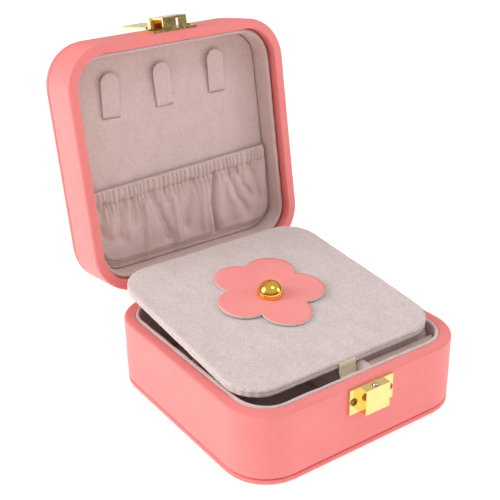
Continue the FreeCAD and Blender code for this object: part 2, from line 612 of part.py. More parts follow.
# The flap is drawn turned back along the lid wall, the way it lies with the box open.
FLAP_DROP = "({clasp_thick}+{hood_deep}-" + FLAP_OUT + "+{flap_clear})"
FLAP_LONG = "(" + FLAP_Z + "-" + CLASP_LOW + "-{flap_short})"
body = new_body("hasp_flap")
turn_open(body)
rod(body, "YZ_Plane", "0-" + FLAP_KNUCKLE + "/2", [(FLAP_Y, FLAP_Z)], "{flap_knuckle}",
    FLAP_KNUCKLE)
sketch = new_sketch(body, "YZ_Plane", "0-" + FLAP_KNUCKLE + "/2")
polygon(sketch, [(FLAP_Y + "-{jog_root}", FLAP_Z + "+{jog_root}"),
                 (FLAP_Y + "+{jog_back}", FLAP_Z + "+{jog_root}"),
                 (FLAP_Y + "+" + FLAP_DROP + "+{flap_thick}", FLAP_Z + "+{flap_jog}"),
                 (FLAP_Y + "+" + FLAP_DROP, FLAP_Z + "+{flap_jog}+{jog_step}")])
pad(body, sketch, FLAP_KNUCKLE)
block(body, "XZ_Plane", "0-(" + FLAP_Y + "+" + FLAP_DROP + ")", "0-{hood_wide}/2",
      "{hood_wide}/2", FLAP_Z + "+{flap_jog}-{jog_lap}", FLAP_Z + "+" + FLAP_LONG,
      "{flap_thick}", True)
drill(body, "YZ_Plane", FLAP_KNUCKLE + "/2", [(FLAP_Y, FLAP_Z)],
      "{flap_pin}+{pin_play}", FLAP_KNUCKLE)

# ---- Cover board ---------------------------------------------------------------------
COVER_CORNER = "({case_corner}-{lid_rim}-{cover_gap}+{cover_ease})"
STUD_X, STUD_Y = "{stud_across}", "{stud_along}"


def stud_hole(body, top, depth):
    drill(body, "XY_Plane", top, [(STUD_X, STUD_Y)], "{shank_round}+{screw_play}", depth)


body = new_body("cover_board")
sketch = new_sketch(body, "XY_Plane", "{velvet}")
square(sketch, "{velvet}", BOARD, COVER_CORNER)
pad(body, sketch, "{cover_thick}-2*{velvet}")
stud_hole(body, "{cover_thick}", "{cover_thick}")
raise_cover(body)

body = new_body("cover_velvet")
sketch = new_sketch(body, "XY_Plane", "0")
square(sketch, "0", BOARD, COVER_CORNER)
pad(body, sketch, "{cover_thick}")
sketch = new_sketch(body, "XY_Plane", "0")
square(sketch, "{velvet}", BOARD, COVER_CORNER)
pocket(body, sketch, "{cover_thick}-{velvet}", True)
stud_hole(body, "{cover_thick}", "{cover_thick}")
soften(body, "{velvet}*{velvet_full}", at_height("{cover_thick}", "0", BOARD))
raise_cover(body)

body = new_body("cover_backing")
sketch = new_sketch(body, "XY_Plane", "0")
square(sketch, "{velvet}", BOARD, COVER_CORNER)
pad(body, sketch, "{velvet}")
stud_hole(body, "{velvet}", "{velvet}")
raise_cover(body)

body = new_body("flower")
sketch = new_sketch(body)
sketch.AttachmentOffset = Placement(Vector(0, 0, 0), Rotation(Vector(0, 0, 1), ANY_TURN))
sketch.setExpression("AttachmentOffset.Rotation.Angle", bound("{petal_turn}*1deg"))
circle(sketch, "{petal_out}", "0", "{petal_round}")
petal = pad(body, sketch, "{petal_thick}")
petals = body.newObject("PartDesign::PolarPattern", "flower_petals")
petals.Originals = [petal]
petals.Axis = (sketch, ["N_Axis"])
petals.Angle = 360
petals.Occurrences = SIZES["petal_count"]
body.Tip = petals
doc.recompute()
rod(body, "XY_Plane", "0", [("0", "0")], "{flower_heart}", "{petal_thick}")
drill(body, "XY_Plane", "{petal_thick}", [("0-{flower_right}", "0-{flower_back}")],
      "{shank_round}+{screw_play}", "{petal_thick}")
raise_cover(body, "{cover_across}+{flower_right}+" + STUD_X, STUD_Y + "+{flower_back}",
            "{cover_thick}+{flower_lift}")

body = new_body("flower_stud")
dome = body.newObject("PartDesign::AdditiveSphere", "flower_stud_dome")
dome.setExpression("Radius", bound("{stud_round}"))
dome.Angle1 = 0
dome.setExpression("Placement.Base.z", bound("{stud_skirt}"))
doc.recompute()
rod(body, "XY_Plane", "0", [("0", "0")], "{stud_round}", "{stud_skirt}")
rod(body, "XY_Plane", "0", [("0", "0")], "{shank_round}",
    "{cover_thick}+{flower_lift}+{petal_thick}+{washer_thick}", True)
raise_cover(body, "{cover_across}+" + STUD_X, STUD_Y,
            "{cover_thick}+{flower_lift}+{petal_thick}")

body = new_body("stud_washer")
rod(body, "XY_Plane", "0", [("0", "0")], "{washer_round}", "{washer_thick}", True)
drill(body, "XY_Plane", "0", [("0", "0")], "{shank_round}", "{washer_thick}")
raise_cover(body, "{cover_across}+" + STUD_X, STUD_Y, "0")

body = new_body("pull_ribbon")
sketch = new_sketch(body, "YZ_Plane", "{ribbon_place}-{ribbon_wide}/2")
EDGE = "(0-" + BOARD + "-{ribbon_thick})"
polygon(sketch, [("0-" + BOARD, "{cover_thick}-{velvet}"),
                 ("0-" + BOARD, "{ribbon_bend}"),
                 (EDGE + "-{ribbon_out}", "0-{ribbon_hang}"),
                 (EDGE + "-{ribbon_out}-{ribbon_thick}", "{ribbon_slant}-{ribbon_hang}"),
                 (EDGE, "{ribbon_bend}+{ribbon_slant}"),
                 (EDGE, "{cover_thick}-{velvet}")])
pad(body, sketch, "{ribbon_wide}")
raise_cover(body)

# ---- Check every piece and write it out ----------------------------------------------
doc.recompute()
os.makedirs("parts", exist_ok=True)
for thing in doc.Objects:
    bad = [word for word in thing.State if word in ("Invalid", "Error")]
    assert not bad, "%s is %s" % (thing.Name, bad)
for body in doc.findObjects("PartDesign::Body"):
    shape = body.Shape
    assert not shape.isNull() and shape.isValid(), "%s has no sound shape" % body.Label
    assert shape.Volume > LEAST, "%s is empty" % body.Label
    shape.exportStep("parts/" + body.Label + ".step")
    print("%-22s %8.1f mm3, %d solid" % (body.Label, shape.Volume, len(shape.Solids)))
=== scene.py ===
import json
import math

import bmesh
import bpy
from mathutils import Matrix, Vector, noise


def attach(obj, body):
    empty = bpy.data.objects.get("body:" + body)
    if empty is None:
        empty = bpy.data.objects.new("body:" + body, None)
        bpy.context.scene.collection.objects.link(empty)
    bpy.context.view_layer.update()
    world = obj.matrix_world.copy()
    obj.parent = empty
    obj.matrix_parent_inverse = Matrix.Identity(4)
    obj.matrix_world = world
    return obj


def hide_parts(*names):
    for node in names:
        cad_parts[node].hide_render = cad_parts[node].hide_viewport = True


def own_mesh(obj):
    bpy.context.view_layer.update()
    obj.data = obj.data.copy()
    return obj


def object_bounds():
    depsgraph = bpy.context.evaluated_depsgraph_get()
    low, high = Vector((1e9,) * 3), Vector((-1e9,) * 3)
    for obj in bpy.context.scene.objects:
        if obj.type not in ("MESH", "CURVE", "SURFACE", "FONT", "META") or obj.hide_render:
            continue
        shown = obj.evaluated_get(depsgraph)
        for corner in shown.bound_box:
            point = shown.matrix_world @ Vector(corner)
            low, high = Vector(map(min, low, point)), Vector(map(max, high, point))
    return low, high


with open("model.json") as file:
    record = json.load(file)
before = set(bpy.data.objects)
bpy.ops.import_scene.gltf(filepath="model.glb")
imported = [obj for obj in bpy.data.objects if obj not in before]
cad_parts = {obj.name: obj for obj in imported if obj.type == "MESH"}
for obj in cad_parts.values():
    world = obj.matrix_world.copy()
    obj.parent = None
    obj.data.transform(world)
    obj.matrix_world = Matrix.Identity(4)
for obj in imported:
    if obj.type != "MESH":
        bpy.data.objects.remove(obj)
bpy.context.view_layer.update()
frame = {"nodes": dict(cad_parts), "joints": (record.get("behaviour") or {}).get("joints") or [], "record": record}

# ---- Boards inside the walls ---------------------------------------------------------
# Raw medium-density fibreboard, cut and glued into the two shells and the loose boards,
# with a grey card behind the lid's lining. Leather and velvet hide all of it later.
MM = 0.001


def linear(red, green, blue):
    """A colour on the 0 to 255 scale of a paint chart as the renderer's linear colour."""
    parts = [c / 255 for c in (red, green, blue)]
    return tuple([((c + 0.055) / 1.055) ** 2.4 if c > 0.04045 else c / 12.92
                  for c in parts] + [1.0])


def node(tree, kind, fed=None, **settings):
    """A shader node; fed gives inputs a value, or the output that feeds them."""
    new = tree.nodes.new("ShaderNode" + kind)
    for name, value in settings.items():
        setattr(new, name, value)
    for name, value in (fed or {}).items():
        if isinstance(value, bpy.types.NodeSocket):
            tree.links.new(value, new.inputs[name])
        else:
            new.inputs[name].default_value = value
    return new


def finish(name, **plain):
    """A material, its tree and its shader, with the shader's plain values set."""
    material = bpy.data.materials.new(name)
    material.use_nodes = True
    shader = material.node_tree.nodes["Principled BSDF"]
    for socket, value in plain.items():
        shader.inputs[socket.replace("_", " ")].default_value = value
    return material, material.node_tree, shader


def bumped(tree, shader, height, strength, distance):
    """Small bumps on a surface; distance is their height in millimetres."""
    bump = node(tree, "Bump", {"Height": height, "Strength": strength,
                               "Distance": distance * MM})
    tree.links.new(bump.outputs["Normal"], shader.inputs["Normal"])


def two_tone(name, dark, light, scale, detail, strength, depth, **plain):
    """A material whose colour and small bumps both follow one fine noise."""
    material, tree, shader = finish(name, **plain)
    place = node(tree, "TexCoord").outputs["Object"]
    grain = node(tree, "TexNoise", {"Vector": place, "Scale": scale, "Detail": detail})
    tone = node(tree, "Mix", {"Factor": grain.outputs["Fac"], 6: dark, 7: light},
                data_type="RGBA")
    tree.links.new(tone.outputs[2], shader.inputs["Base Color"])
    bumped(tree, shader, grain.outputs["Fac"], strength, depth)
    return material


def repaint(node_name, material):
    """Gives one of the frame's own pieces a finish."""
    slots = frame["nodes"][node_name].data.materials
    slots.clear()
    slots.append(material)


FIBREBOARD = two_tone("raw_fibreboard", linear(150, 118, 84), linear(196, 166, 126), 1800.0,
                      5.0, 0.5, 0.08, Roughness=0.85, Specular_IOR_Level=0.2)
GREY_CARD = two_tone("grey_card", linear(158, 152, 142), linear(190, 184, 174), 2600.0, 4.0,
                     0.3, 0.05, Roughness=0.8, Specular_IOR_Level=0.2)
for board in ("base_shell", "base_floor_board", "lid_shell", "lid_inner_board",
              "cover_board"):
    repaint(board, FIBREBOARD)
repaint("lid_lining_card", GREY_CARD)

# ---- Leather skin of the base --------------------------------------------------------
# Coral imitation leather glued over a fibreboard shell: it wraps the rim, folds down
# inside, and stops at a narrow groove above the separately covered bottom panel.
BODIES = frame["record"]["behaviour"]["bodies"]
PIECE_BODY = {piece: body for body, pieces in BODIES.items() for piece in pieces}


def swing(name, limit):
    """The turn about a hinge, from the open box to one limit of the hinge's range."""
    joint = [j for j in frame["joints"] if j["name"] == name][0]
    centre = Matrix.Translation(joint["pos_m"])
    angle = math.radians(joint["range_deg"][limit])
    return centre @ Matrix.Rotation(angle, 4, Vector(joint["axis"])) @ centre.inverted()


# Every piece is drawn as it lies in the shut box, then turned to where it stands open.
SHUT = {"base": Matrix.Identity(4), "ball": Matrix.Identity(4),
        "lid": swing("lid_hinge", 1), "flap": swing("lid_hinge", 1),
        "cover": swing("cover_lower", 0)}


def shut_box(node_name):
    """Lowest and highest corner of a node in millimetres, with the box shut."""
    to_shut = SHUT[PIECE_BODY[node_name]]
    spots = [to_shut @ v.co / MM for v in frame["nodes"][node_name].data.vertices]
    return (Vector([min(s[i] for s in spots) for i in range(3)]),
            Vector([max(s[i] for s in spots) for i in range(3)]))


def stood(name, data):
    """A new object in the scene, for a mesh, a lamp or the camera."""
    thing = bpy.data.objects.new(name, data)
    bpy.context.scene.collection.objects.link(thing)
    return thing


def made(name, bm, body, slot, stands_for, *materials):
    """A mesh drawn shut, in millimetres, becomes a finished piece that rides on a body."""
    for face in bm.faces:
        face.smooth = True
    mesh = bpy.data.meshes.new(name)
    bm.to_mesh(mesh)
    bm.free()
    mesh.transform(SHUT[body].inverted() @ Matrix.Scale(MM, 4))
    for material in materials:
        mesh.materials.append(material)
    piece = stood(name, mesh)
    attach(piece, body)
    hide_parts(*stands_for)
    return piece


CASE_SIDE = shut_box("base_leather")[1].x * 2
CASE_HALF = CASE_SIDE / 2
CASE_CORNER = 17.4
LEATHER = 0.8
BASE_RIM = CASE_HALF - shut_box("base_lining")[1].x
GROOVE_DEEP = 0.6
GROOVE_TALL = 0.7
GROOVE_ROUND = 0.4
SHOULDER_ROUND = 0.95
FOLD_ROUND = 0.5


def effect(name, inputs, outputs):
    """An empty node group with its inputs and outputs, to be filled in."""
    tree = bpy.data.node_groups.new(name, "ShaderNodeTree")
    for label, kind, value in inputs:
        socket = tree.interface.new_socket(label, in_out="INPUT", socket_type=kind)
        if value is not None:
            socket.default_value = value
    for label, kind in outputs:
        tree.interface.new_socket(label, in_out="OUTPUT", socket_type=kind)
    put, out = tree.nodes.new("NodeGroupInput"), tree.nodes.new("NodeGroupOutput")
    return tree, put.outputs, out.inputs


def placed(tree, group, fed):
    """A node group put into a material."""
    return node(tree, "Group", fed, node_tree=group).outputs


# Pebble grain of imitation leather: round cells, soft cloudy tone, shinier on the crowns.
PEBBLES, put, out = effect(
    "pebble_grain",
    [("Vector", "NodeSocketVector", None), ("Light", "NodeSocketColor", None),
     ("Dark", "NodeSocketColor", None), ("Cells", "NodeSocketFloat", 2600.0)],
    [("Color", "NodeSocketColor"), ("Roughness", "NodeSocketFloat"),
     ("Height", "NodeSocketFloat")])
cells = node(PEBBLES, "TexVoronoi", {"Vector": put["Vector"], "Scale": put["Cells"]},
             feature="SMOOTH_F1")
cloud = node(PEBBLES, "TexNoise", {"Vector": put["Vector"], "Scale": 75.0, "Detail": 3.0})
fleck = node(PEBBLES, "TexNoise", {"Vector": put["Vector"], "Scale": 900.0, "Detail": 4.0})
tone = node(PEBBLES, "Math", {0: cloud.outputs["Fac"], 1: fleck.outputs["Fac"]},
            operation="MULTIPLY")
spread = node(PEBBLES, "MapRange", {"Value": tone.outputs[0], "From Min": 0.14,
                                    "From Max": 0.36})
shade = node(PEBBLES, "Mix", {"Factor": spread.outputs[0], 6: put["Light"], 7: put["Dark"]},
             data_type="RGBA")
PEBBLES.links.new(shade.outputs[2], out["Color"])
gloss = node(PEBBLES, "MapRange", {"Value": cells.outputs["Distance"], "From Max": 0.7,
                                   "To Min": 0.36, "To Max": 0.52})
PEBBLES.links.new(gloss.outputs[0], out["Roughness"])
swell = node(PEBBLES, "Math", {0: cells.outputs["Distance"], 1: fleck.outputs["Fac"]},
             operation="SUBTRACT")
PEBBLES.links.new(swell.outputs[0], out["Height"])


def leather_finish(name, light, dark, cells_per_metre, depth):
    """Pebbled imitation leather with a thin clear coat."""
    material, tree, shader = finish(name, Specular_IOR_Level=0.42, Coat_Weight=0.06,
                                    Coat_Roughness=0.3)
    place = node(tree, "TexCoord").outputs["Object"]
    grain = placed(tree, PEBBLES, {"Vector": place, "Light": light, "Dark": dark,
                                   "Cells": cells_per_metre})
    tree.links.new(grain["Color"], shader.inputs["Base Color"])
    tree.links.new(grain["Roughness"], shader.inputs["Roughness"])
    bumped(tree, shader, grain["Height"], 0.35, depth)
    return material


CORAL = leather_finish("coral_leather", linear(250, 140, 137), linear(247, 135, 132),
                       2600.0, 0.05)


def arc(inset, height, radius, start, end, steps=6):
    """Points of a rounded edge; 0 degrees points inward and 90 degrees up."""
    turns = [math.radians(start + (end - start) * i / steps) for i in range(steps + 1)]
    return [(inset + radius * math.cos(t), height + radius * math.sin(t)) for t in turns]


def moulding(profile, corner_steps=16, side_steps=26, half=CASE_HALF, corner=CASE_CORNER):
    """A closed profile of (inset, height) swept round a square outline with round corners."""
    bm = bmesh.new()
    verts = [bm.verts.new((half - inset, half - corner, z)) for inset, z in profile]
    last = verts + [bm.edges.new(pair) for pair in zip(verts, verts[1:] + verts[:1])]
    for side in range(4):
        turn = Matrix.Rotation(side * math.pi / 2, 3, "Z")
        centre = turn @ Vector((half - corner, half - corner, 0))
        swept = bmesh.ops.spin(bm, geom=last, cent=centre, axis=(0, 0, 1),
                               angle=math.pi / 2, steps=corner_steps)
        step = turn @ Vector((-2 * (half - corner) / side_steps, 0, 0))
        swept = bmesh.ops.spin(bm, geom=swept["geom_last"], cent=centre, axis=(0, 0, 1),
                               dvec=step, angle=0, steps=side_steps)
        last = swept["geom_last"]
    bmesh.ops.remove_doubles(bm, verts=bm.verts[:], dist=0.001)
    bmesh.ops.recalc_face_normals(bm, faces=bm.faces[:])
    return bm


def uneven(bm, amount, size, seed=0.0, wanted=lambda spot: True):
    """Hand-made unevenness: each point moves a little along its normal."""
    bm.normal_update()
    for vert in bm.verts:
        if wanted(vert.co):
            swell = noise.noise(vert.co / size + Vector((seed, seed * 1.7, -seed)))
            vert.co += vert.normal * amount * swell


def levels(start, end, step=2.5):
    """Even steps between two values, without the ends."""
    count = max(1, round(abs(end - start) / step))
    return [start + (end - start) * i / count for i in range(1, count)]


def skin_profile(low, top, rim, lap):
    """The section of a leather skin: groove, wall, creased shoulder, rim and inner fold."""
    wall = [(0.0, z) for z in levels(low + GROOVE_TALL + 0.5, top - 2.3)]
    return ([(GROOVE_DEEP, low), (GROOVE_DEEP, low + GROOVE_TALL * 0.7)]
            + arc(GROOVE_ROUND, low + GROOVE_TALL + GROOVE_ROUND, GROOVE_ROUND, 250, 180, 4)
            + wall
            + [(0.0, top - 2.3), (0.07, top - 1.8), (0.03, top - 1.35)]
            + arc(SHOULDER_ROUND, top - SHOULDER_ROUND, SHOULDER_ROUND, 176, 90, 7)
            + [(rim * 0.45, top - 0.06), (rim * 0.7, top - 0.07)]
            + arc(rim - FOLD_ROUND, top - FOLD_ROUND, FOLD_ROUND, 90, 0, 5)
            + [(rim, top - lap), (rim - LEATHER, top - lap), (rim - LEATHER, top - LEATHER),
               (LEATHER, top - LEATHER), (LEATHER, low)])


base_low, base_top = shut_box("base_leather")
BASE_LAP = 4.0
bm = moulding(skin_profile(base_low.z, base_top.z, BASE_RIM, BASE_LAP))
uneven(bm, 0.1, 9.0, 3.0, lambda spot: spot.z > base_low.z + 2)
made("base_skin", bm, "base", "pink_leather", ["base_leather"], CORAL)

# ---- Bottom panel of the base --------------------------------------------------------
# A board with its own leather cover, glued under the walls. Its edge is eased all round
# so that it reads as a thin lip below the groove.


def rounded_plate(half, corner, cells):
    """A flat grid whose outline is a square with round corners."""
    bm = bmesh.new()
    bmesh.ops.create_grid(bm, x_segments=cells, y_segments=cells, size=half)
    flat = half - corner
    for vert in bm.verts:
        x, y = abs(vert.co.x) - flat, abs(vert.co.y) - flat
        if x > 0 and y > 0:
            shrink = max(x, y) / math.hypot(x, y)
            vert.co.x = math.copysign(flat + x * shrink, vert.co.x)
            vert.co.y = math.copysign(flat + y * shrink, vert.co.y)
    return bm


def only(kind, drawn):
    """The verts or the edges among what an extrude drew."""
    return [item for item in drawn["geom"] if isinstance(item, kind)]


def skirted(bm, profile, half, corner):
    """Draws a plate's rim out and down through (inset, height) points."""
    flat = half - corner
    edges = [edge for edge in bm.edges if edge.is_boundary]
    for inset, height in profile:
        edges = only(bmesh.types.BMEdge, bmesh.ops.extrude_edge_only(bm, edges=edges))
        for vert in {v for edge in edges for v in edge.verts}:
            foot = Vector([max(-flat, min(flat, k)) for k in vert.co.xy])
            away = (vert.co.xy - foot).normalized()
            spot = foot + away * (corner - inset)
            vert.co = (spot.x, spot.y, height)
    return edges


def board_block(half, corner, cells, face_height, profile):
    """A plate with a shaped edge and a closed back: face up, back at the last height."""
    bm = rounded_plate(half - profile[0][0], corner - profile[0][0], cells)
    bmesh.ops.translate(bm, verts=bm.verts[:], vec=(0, 0, face_height))
    last = skirted(bm, profile[1:], half, corner)
    bmesh.ops.holes_fill(bm, edges=last, sides=0)
    bmesh.ops.recalc_face_normals(bm, faces=bm.faces[:])
    return bm


PANEL_EASE = 0.5


def covered_panel(face, back):
    """The leather-covered board across a shell, from its hidden face to its outside."""
    return board_block(CASE_HALF, CASE_CORNER, 24, face, (
        [(GROOVE_DEEP, face), (PANEL_EASE * 0.2, face - 0.05)]
        + arc(PANEL_EASE, back + PANEL_EASE, PANEL_EASE, 180, 270, 5)))


low, high = shut_box("base_bottom_panel")
made("base_bottom", covered_panel(high.z, low.z), "base", "pink_leather",
     ["base_bottom_panel"], CORAL)

# ---- Velvet insides of the base ------------------------------------------------------
# Short-pile microfibre velvet over card: a thin wall lining whose soft top edge stands a
# little above the rim, a floor pad, and card dividers with folded-over tops.
NAP, put, out = effect(
    "nap",
    [("Vector", "NodeSocketVector", None), ("Light", "NodeSocketColor", None),
     ("Dark", "NodeSocketColor", None), ("Fineness", "NodeSocketFloat", 1500.0)],
    [("Color", "NodeSocketColor"), ("Height", "NodeSocketFloat")])
brushed = node(NAP, "VectorMath", {0: put["Vector"], 1: (1.0, 0.55, 0.75)},
               operation="MULTIPLY")
tufts = node(NAP, "TexNoise", {"Vector": brushed.outputs[0], "Scale": put["Fineness"],
                               "Detail": 3.0, "Roughness": 0.6, "Distortion": 0.6})
strokes = node(NAP, "TexNoise", {"Vector": brushed.outputs[0], "Scale": 160.0,
                                 "Detail": 2.0})
weight = node(NAP, "Math", {0: tufts.outputs["Fac"], 1: 0.75}, operation="MULTIPLY")
both = node(NAP, "Math", {0: strokes.outputs["Fac"], 1: 0.25, 2: weight.outputs[0]},
            operation="MULTIPLY_ADD")
spread = node(NAP, "MapRange", {"Value": both.outputs[0], "From Min": 0.36,
                                "From Max": 0.64})
shade = node(NAP, "Mix", {"Factor": spread.outputs[0], 6: put["Dark"], 7: put["Light"]},
             data_type="RGBA")
NAP.links.new(shade.outputs[2], out["Color"])
NAP.links.new(tufts.outputs["Fac"], out["Height"])


def velvet_finish(name, light, dark, tufts_per_metre=1500.0, depth=0.16):
    """Short matt pile that catches a little light at its edges."""
    material, tree, shader = finish(
        name, Roughness=0.95, Specular_IOR_Level=0.12, Sheen_Weight=0.22,
        Sheen_Roughness=0.55, Sheen_Tint=linear(255, 240, 236))
    place = node(tree, "TexCoord").outputs["Object"]
    pile = placed(tree, NAP, {"Vector": place, "Light": light, "Dark": dark,
                              "Fineness": tufts_per_metre})
    tree.links.new(pile["Color"], shader.inputs["Base Color"])
    bumped(tree, shader, pile["Height"], 0.4, depth)
    return material


# The insides' velvet is the board's pale cloth tinted redder: the cloth's own pale colour with painted warm bounce
# light of the shaded insides over it.
VELVET_PAINTED_WARM_SHADE = velvet_finish("pale_velvet_painted_warm_shade", linear(226, 203, 198), linear(210, 186, 180))


def lining_profile(outer, inner, low, top):
    """The section of a padded wall lining: straight back, full round top."""
    middle = (outer + inner) / 2
    half = (inner - outer) / 2
    crest = arc(middle, top - half, half, 180, 0, 8)
    face = [(inner, top - half - (top - half - low) * i / 6) for i in range(1, 6)]
    back = [(outer, z) for z in levels(low, top - half, 4.0)]
    return crest + face + [(inner, low), (outer, low)] + back


low, high = shut_box("base_lining")
INSIDE_HALF = shut_box("middle_divider")[1].y
INSIDE_CORNER = CASE_CORNER - CASE_HALF + INSIDE_HALF
bm = moulding(lining_profile(BASE_RIM, CASE_HALF - INSIDE_HALF, low.z, high.z),
              corner_steps=18, side_steps=40)
uneven(bm, 0.22, 5.0, 8.0, lambda spot: spot.z > low.z + 3)
lining = made("base_lining_velvet", bm, "base", "velvet", ["base_lining"], VELVET_PAINTED_WARM_SHADE)


def crowned(half, corner, cells, low, top, crown, edge=0.9):
    """A foam pad under cloth: a face that rises to a crown, soft edges and a flat back."""
    bm = board_block(half, corner, cells, top - crown - edge * 0.1, (
        [(edge, top - crown - edge * 0.1)]
        + arc(edge, top - crown - edge, edge, 120, 180, 4) + [(0.15, low), (1.2, low)]))
    for vert in bm.verts:
        across = max(abs(vert.co.x), abs(vert.co.y)) / half
        if vert.co.z > top - crown - edge * 0.5:
            vert.co.z += crown * (1 - across ** 6)
    return bm


low, high = shut_box("base_floor_pad")
bm = crowned(INSIDE_HALF - 0.1, INSIDE_CORNER, 60, low.z, high.z, 0.3, 0.6)
pad = made("base_floor_velvet", bm, "base", "velvet", ["base_floor_pad"], VELVET_PAINTED_WARM_SHADE)


def block(size, middle):
    """A plain block to shape a soft piece from."""
    bm = bmesh.new()
    bmesh.ops.create_cube(bm, size=1.0)
    bmesh.ops.scale(bm, verts=bm.verts[:], vec=size)
    bmesh.ops.translate(bm, verts=bm.verts[:], vec=middle)
    return bm


def broken(bm, edges, width, segments, **more):
    """Rounds sharp edges off, in so many steps across."""
    bmesh.ops.bevel(bm, geom=edges, offset=width, offset_type="OFFSET", segments=segments,
                    profile=0.5, affect="EDGES", material=-1, **more)


def sliced(bm, place, across):
    """Cuts a whole form along a plane, so that it can waver there."""
    bmesh.ops.bisect_plane(bm, geom=bm.verts[:] + bm.edges[:] + bm.faces[:],
                           plane_co=place, plane_no=across)


def wrapped_card(name, node_name, along):
    """A standing card in velvet with a full round top; along is 0 for X and 1 for Y."""
    low, high = shut_box(node_name)
    size, middle = high - low, (high + low) / 2
    bm = block(size, middle)
    top = [e for e in bm.edges if all(v.co.z > middle.z for v in e.verts)]
    thick = min(size.x, size.y)
    broken(bm, top, thick * 0.42, 7)
    for spot in levels(low[along] + 2, high[along] - 2, 1.6):
        cut = Vector((0, 0, 0))
        cut[along] = 1.0
        where = middle.copy()
        where[along] = spot
        sliced(bm, where, cut)
    for height in levels(low.z, high.z - thick * 0.5, 3.0):
        sliced(bm, (0, 0, height), (0, 0, 1))
    uneven(bm, 0.3, 6.0, size.length, lambda spot: spot.z > low.z + 1)
    card = made(name, bm, "base", "velvet", [node_name], VELVET_PAINTED_WARM_SHADE)


wrapped_card("middle_divider_velvet", "middle_divider", along=1)
wrapped_card("left_cross_velvet", "left_cross_divider", along=0)
wrapped_card("right_cross_velvet", "right_cross_divider", along=0)

# ---- Ring rolls ----------------------------------------------------------------------
# Foam rolls wrapped in the same velvet, packed side by side so that a ring slips into the
# crease between two of them. Each roll swells against its neighbours.
SIM_SCALE = 10


def swollen(bm, pressure, reach):
    """Blows a soft form up a little with cloth, at ten times its size for a steady result."""
    mesh = bpy.data.meshes.new("swell")
    bmesh.ops.scale(bm, verts=bm.verts[:], vec=(SIM_SCALE * MM,) * 3)
    bm.to_mesh(mesh)
    bm.free()
    form = stood("swell", mesh)
    remesh = form.modifiers.new("remesh", "REMESH")
    remesh.mode = "VOXEL"
    remesh.voxel_size = 0.006
    cloth = form.modifiers.new("cloth", "CLOTH")
    cloth.settings.use_pressure = True
    cloth.settings.uniform_pressure_force = pressure
    cloth.settings.effector_weights.gravity = 0
    scene = bpy.context.scene
    for step in range(1, 21):
        scene.frame_set(step)
    shape = bpy.data.meshes.new_from_object(
        form.evaluated_get(bpy.context.evaluated_depsgraph_get()))
    scene.frame_set(1)
    cloth.show_viewport = False
    start = bpy.data.meshes.new_from_object(
        form.evaluated_get(bpy.context.evaluated_depsgraph_get()))
    soft = bmesh.new()
    soft.from_mesh(shape)
    soft.verts.ensure_lookup_table()
    for vert, first in zip(soft.verts, start.vertices):
        moved = vert.co - first.co
        if moved.length > reach:
            vert.co = first.co + moved.normalized() * reach
    bmesh.ops.scale(soft, verts=soft.verts[:], vec=(1 / (SIM_SCALE * MM),) * 3)
    bpy.data.objects.remove(form)
    return soft


for number in range(1, 6):
    roll_node = "ring_roll_%d" % number
    low, high = shut_box(roll_node)
    size, middle = high - low - Vector((0.3, 0.3, 0.4)), (high + low) / 2
    bm = block(size, middle)
    length = [e for e in bm.edges if abs(e.verts[0].co.x - e.verts[1].co.x) > size.x / 2]
    broken(bm, length, size.y * 0.46, 10)
    ends = [e for e in bm.edges if abs(e.verts[0].co.x - e.verts[1].co.x) < 1e-4]
    broken(bm, ends, 0.7, 3)
    if number == 1:
        # The first roll is rounded off to fit the lining's round corner.
        flat = INSIDE_HALF - INSIDE_CORNER
        bmesh.ops.subdivide_edges(bm, edges=[e for e in bm.edges if e.calc_length() > 4],
                                  cuts=16, use_grid_fill=True)
        reach = INSIDE_CORNER - 0.4
        for vert in bm.verts:
            dx, dy = vert.co.x - flat, -vert.co.y - flat
            if dx > 0 and dy > 0 and math.hypot(dx, dy) > reach:
                pull = reach / math.hypot(dx, dy)
                vert.co.x, vert.co.y = flat + dx * pull, -flat - dy * pull
    bm = swollen(bm, 4.0, 0.003)
    uneven(bm, 0.25, 4.0, number * 3.1)
    roll = made("ring_roll_velvet_%d" % number, bm, "base", "velvet", [roll_node], VELVET_PAINTED_WARM_SHADE)

# ---- Catch on the front of the base --------------------------------------------------
# A gold-plated plate with a solid block, held by two cross-head screws. A sprung steel
# ball stands out of the block's top for the hasp to click over.
POLISH, put, out = effect(
    "polish",
    [("Vector", "NodeSocketVector", None), ("Smooth", "NodeSocketFloat", 0.1),
     ("Worn", "NodeSocketFloat", 0.24)],
    [("Roughness", "NodeSocketFloat"), ("Height", "NodeSocketFloat")])
lines = node(POLISH, "VectorMath", {0: put["Vector"], 1: (9000.0, 700.0, 260.0)},
             operation="MULTIPLY")
brush = node(POLISH, "TexNoise", {"Vector": lines.outputs[0], "Scale": 1.0, "Detail": 3.0})
smudge = node(POLISH, "TexNoise", {"Vector": put["Vector"], "Scale": 420.0, "Detail": 4.0})
mixed = node(POLISH, "Math", {0: brush.outputs["Fac"], 1: smudge.outputs["Fac"]},
             operation="MULTIPLY")
sheen = node(POLISH, "MapRange", {"Value": mixed.outputs[0], "From Min": 0.12,
                                  "From Max": 0.42, "To Min": put["Smooth"],
                                  "To Max": put["Worn"]})
POLISH.links.new(sheen.outputs[0], out["Roughness"])
POLISH.links.new(brush.outputs["Fac"], out["Height"])


def metal_finish(name, color, deep, smooth, worn, scratch):
    """Polished metal, a little duller and darker in patches, with fine brush lines."""
    material, tree, shader = finish(name, Metallic=1.0)
    place = node(tree, "TexCoord").outputs["Object"]
    face = placed(tree, POLISH, {"Vector": place, "Smooth": smooth, "Worn": worn})
    tree.links.new(face["Roughness"], shader.inputs["Roughness"])
    patch = node(tree, "TexNoise", {"Vector": place, "Scale": 260.0, "Detail": 2.0})
    tint = node(tree, "Mix", {"Factor": patch.outputs["Fac"], 6: color, 7: deep},
                data_type="RGBA")
    tree.links.new(tint.outputs[2], shader.inputs["Base Color"])
    bumped(tree, shader, face["Height"], scratch, 0.004)
    return material


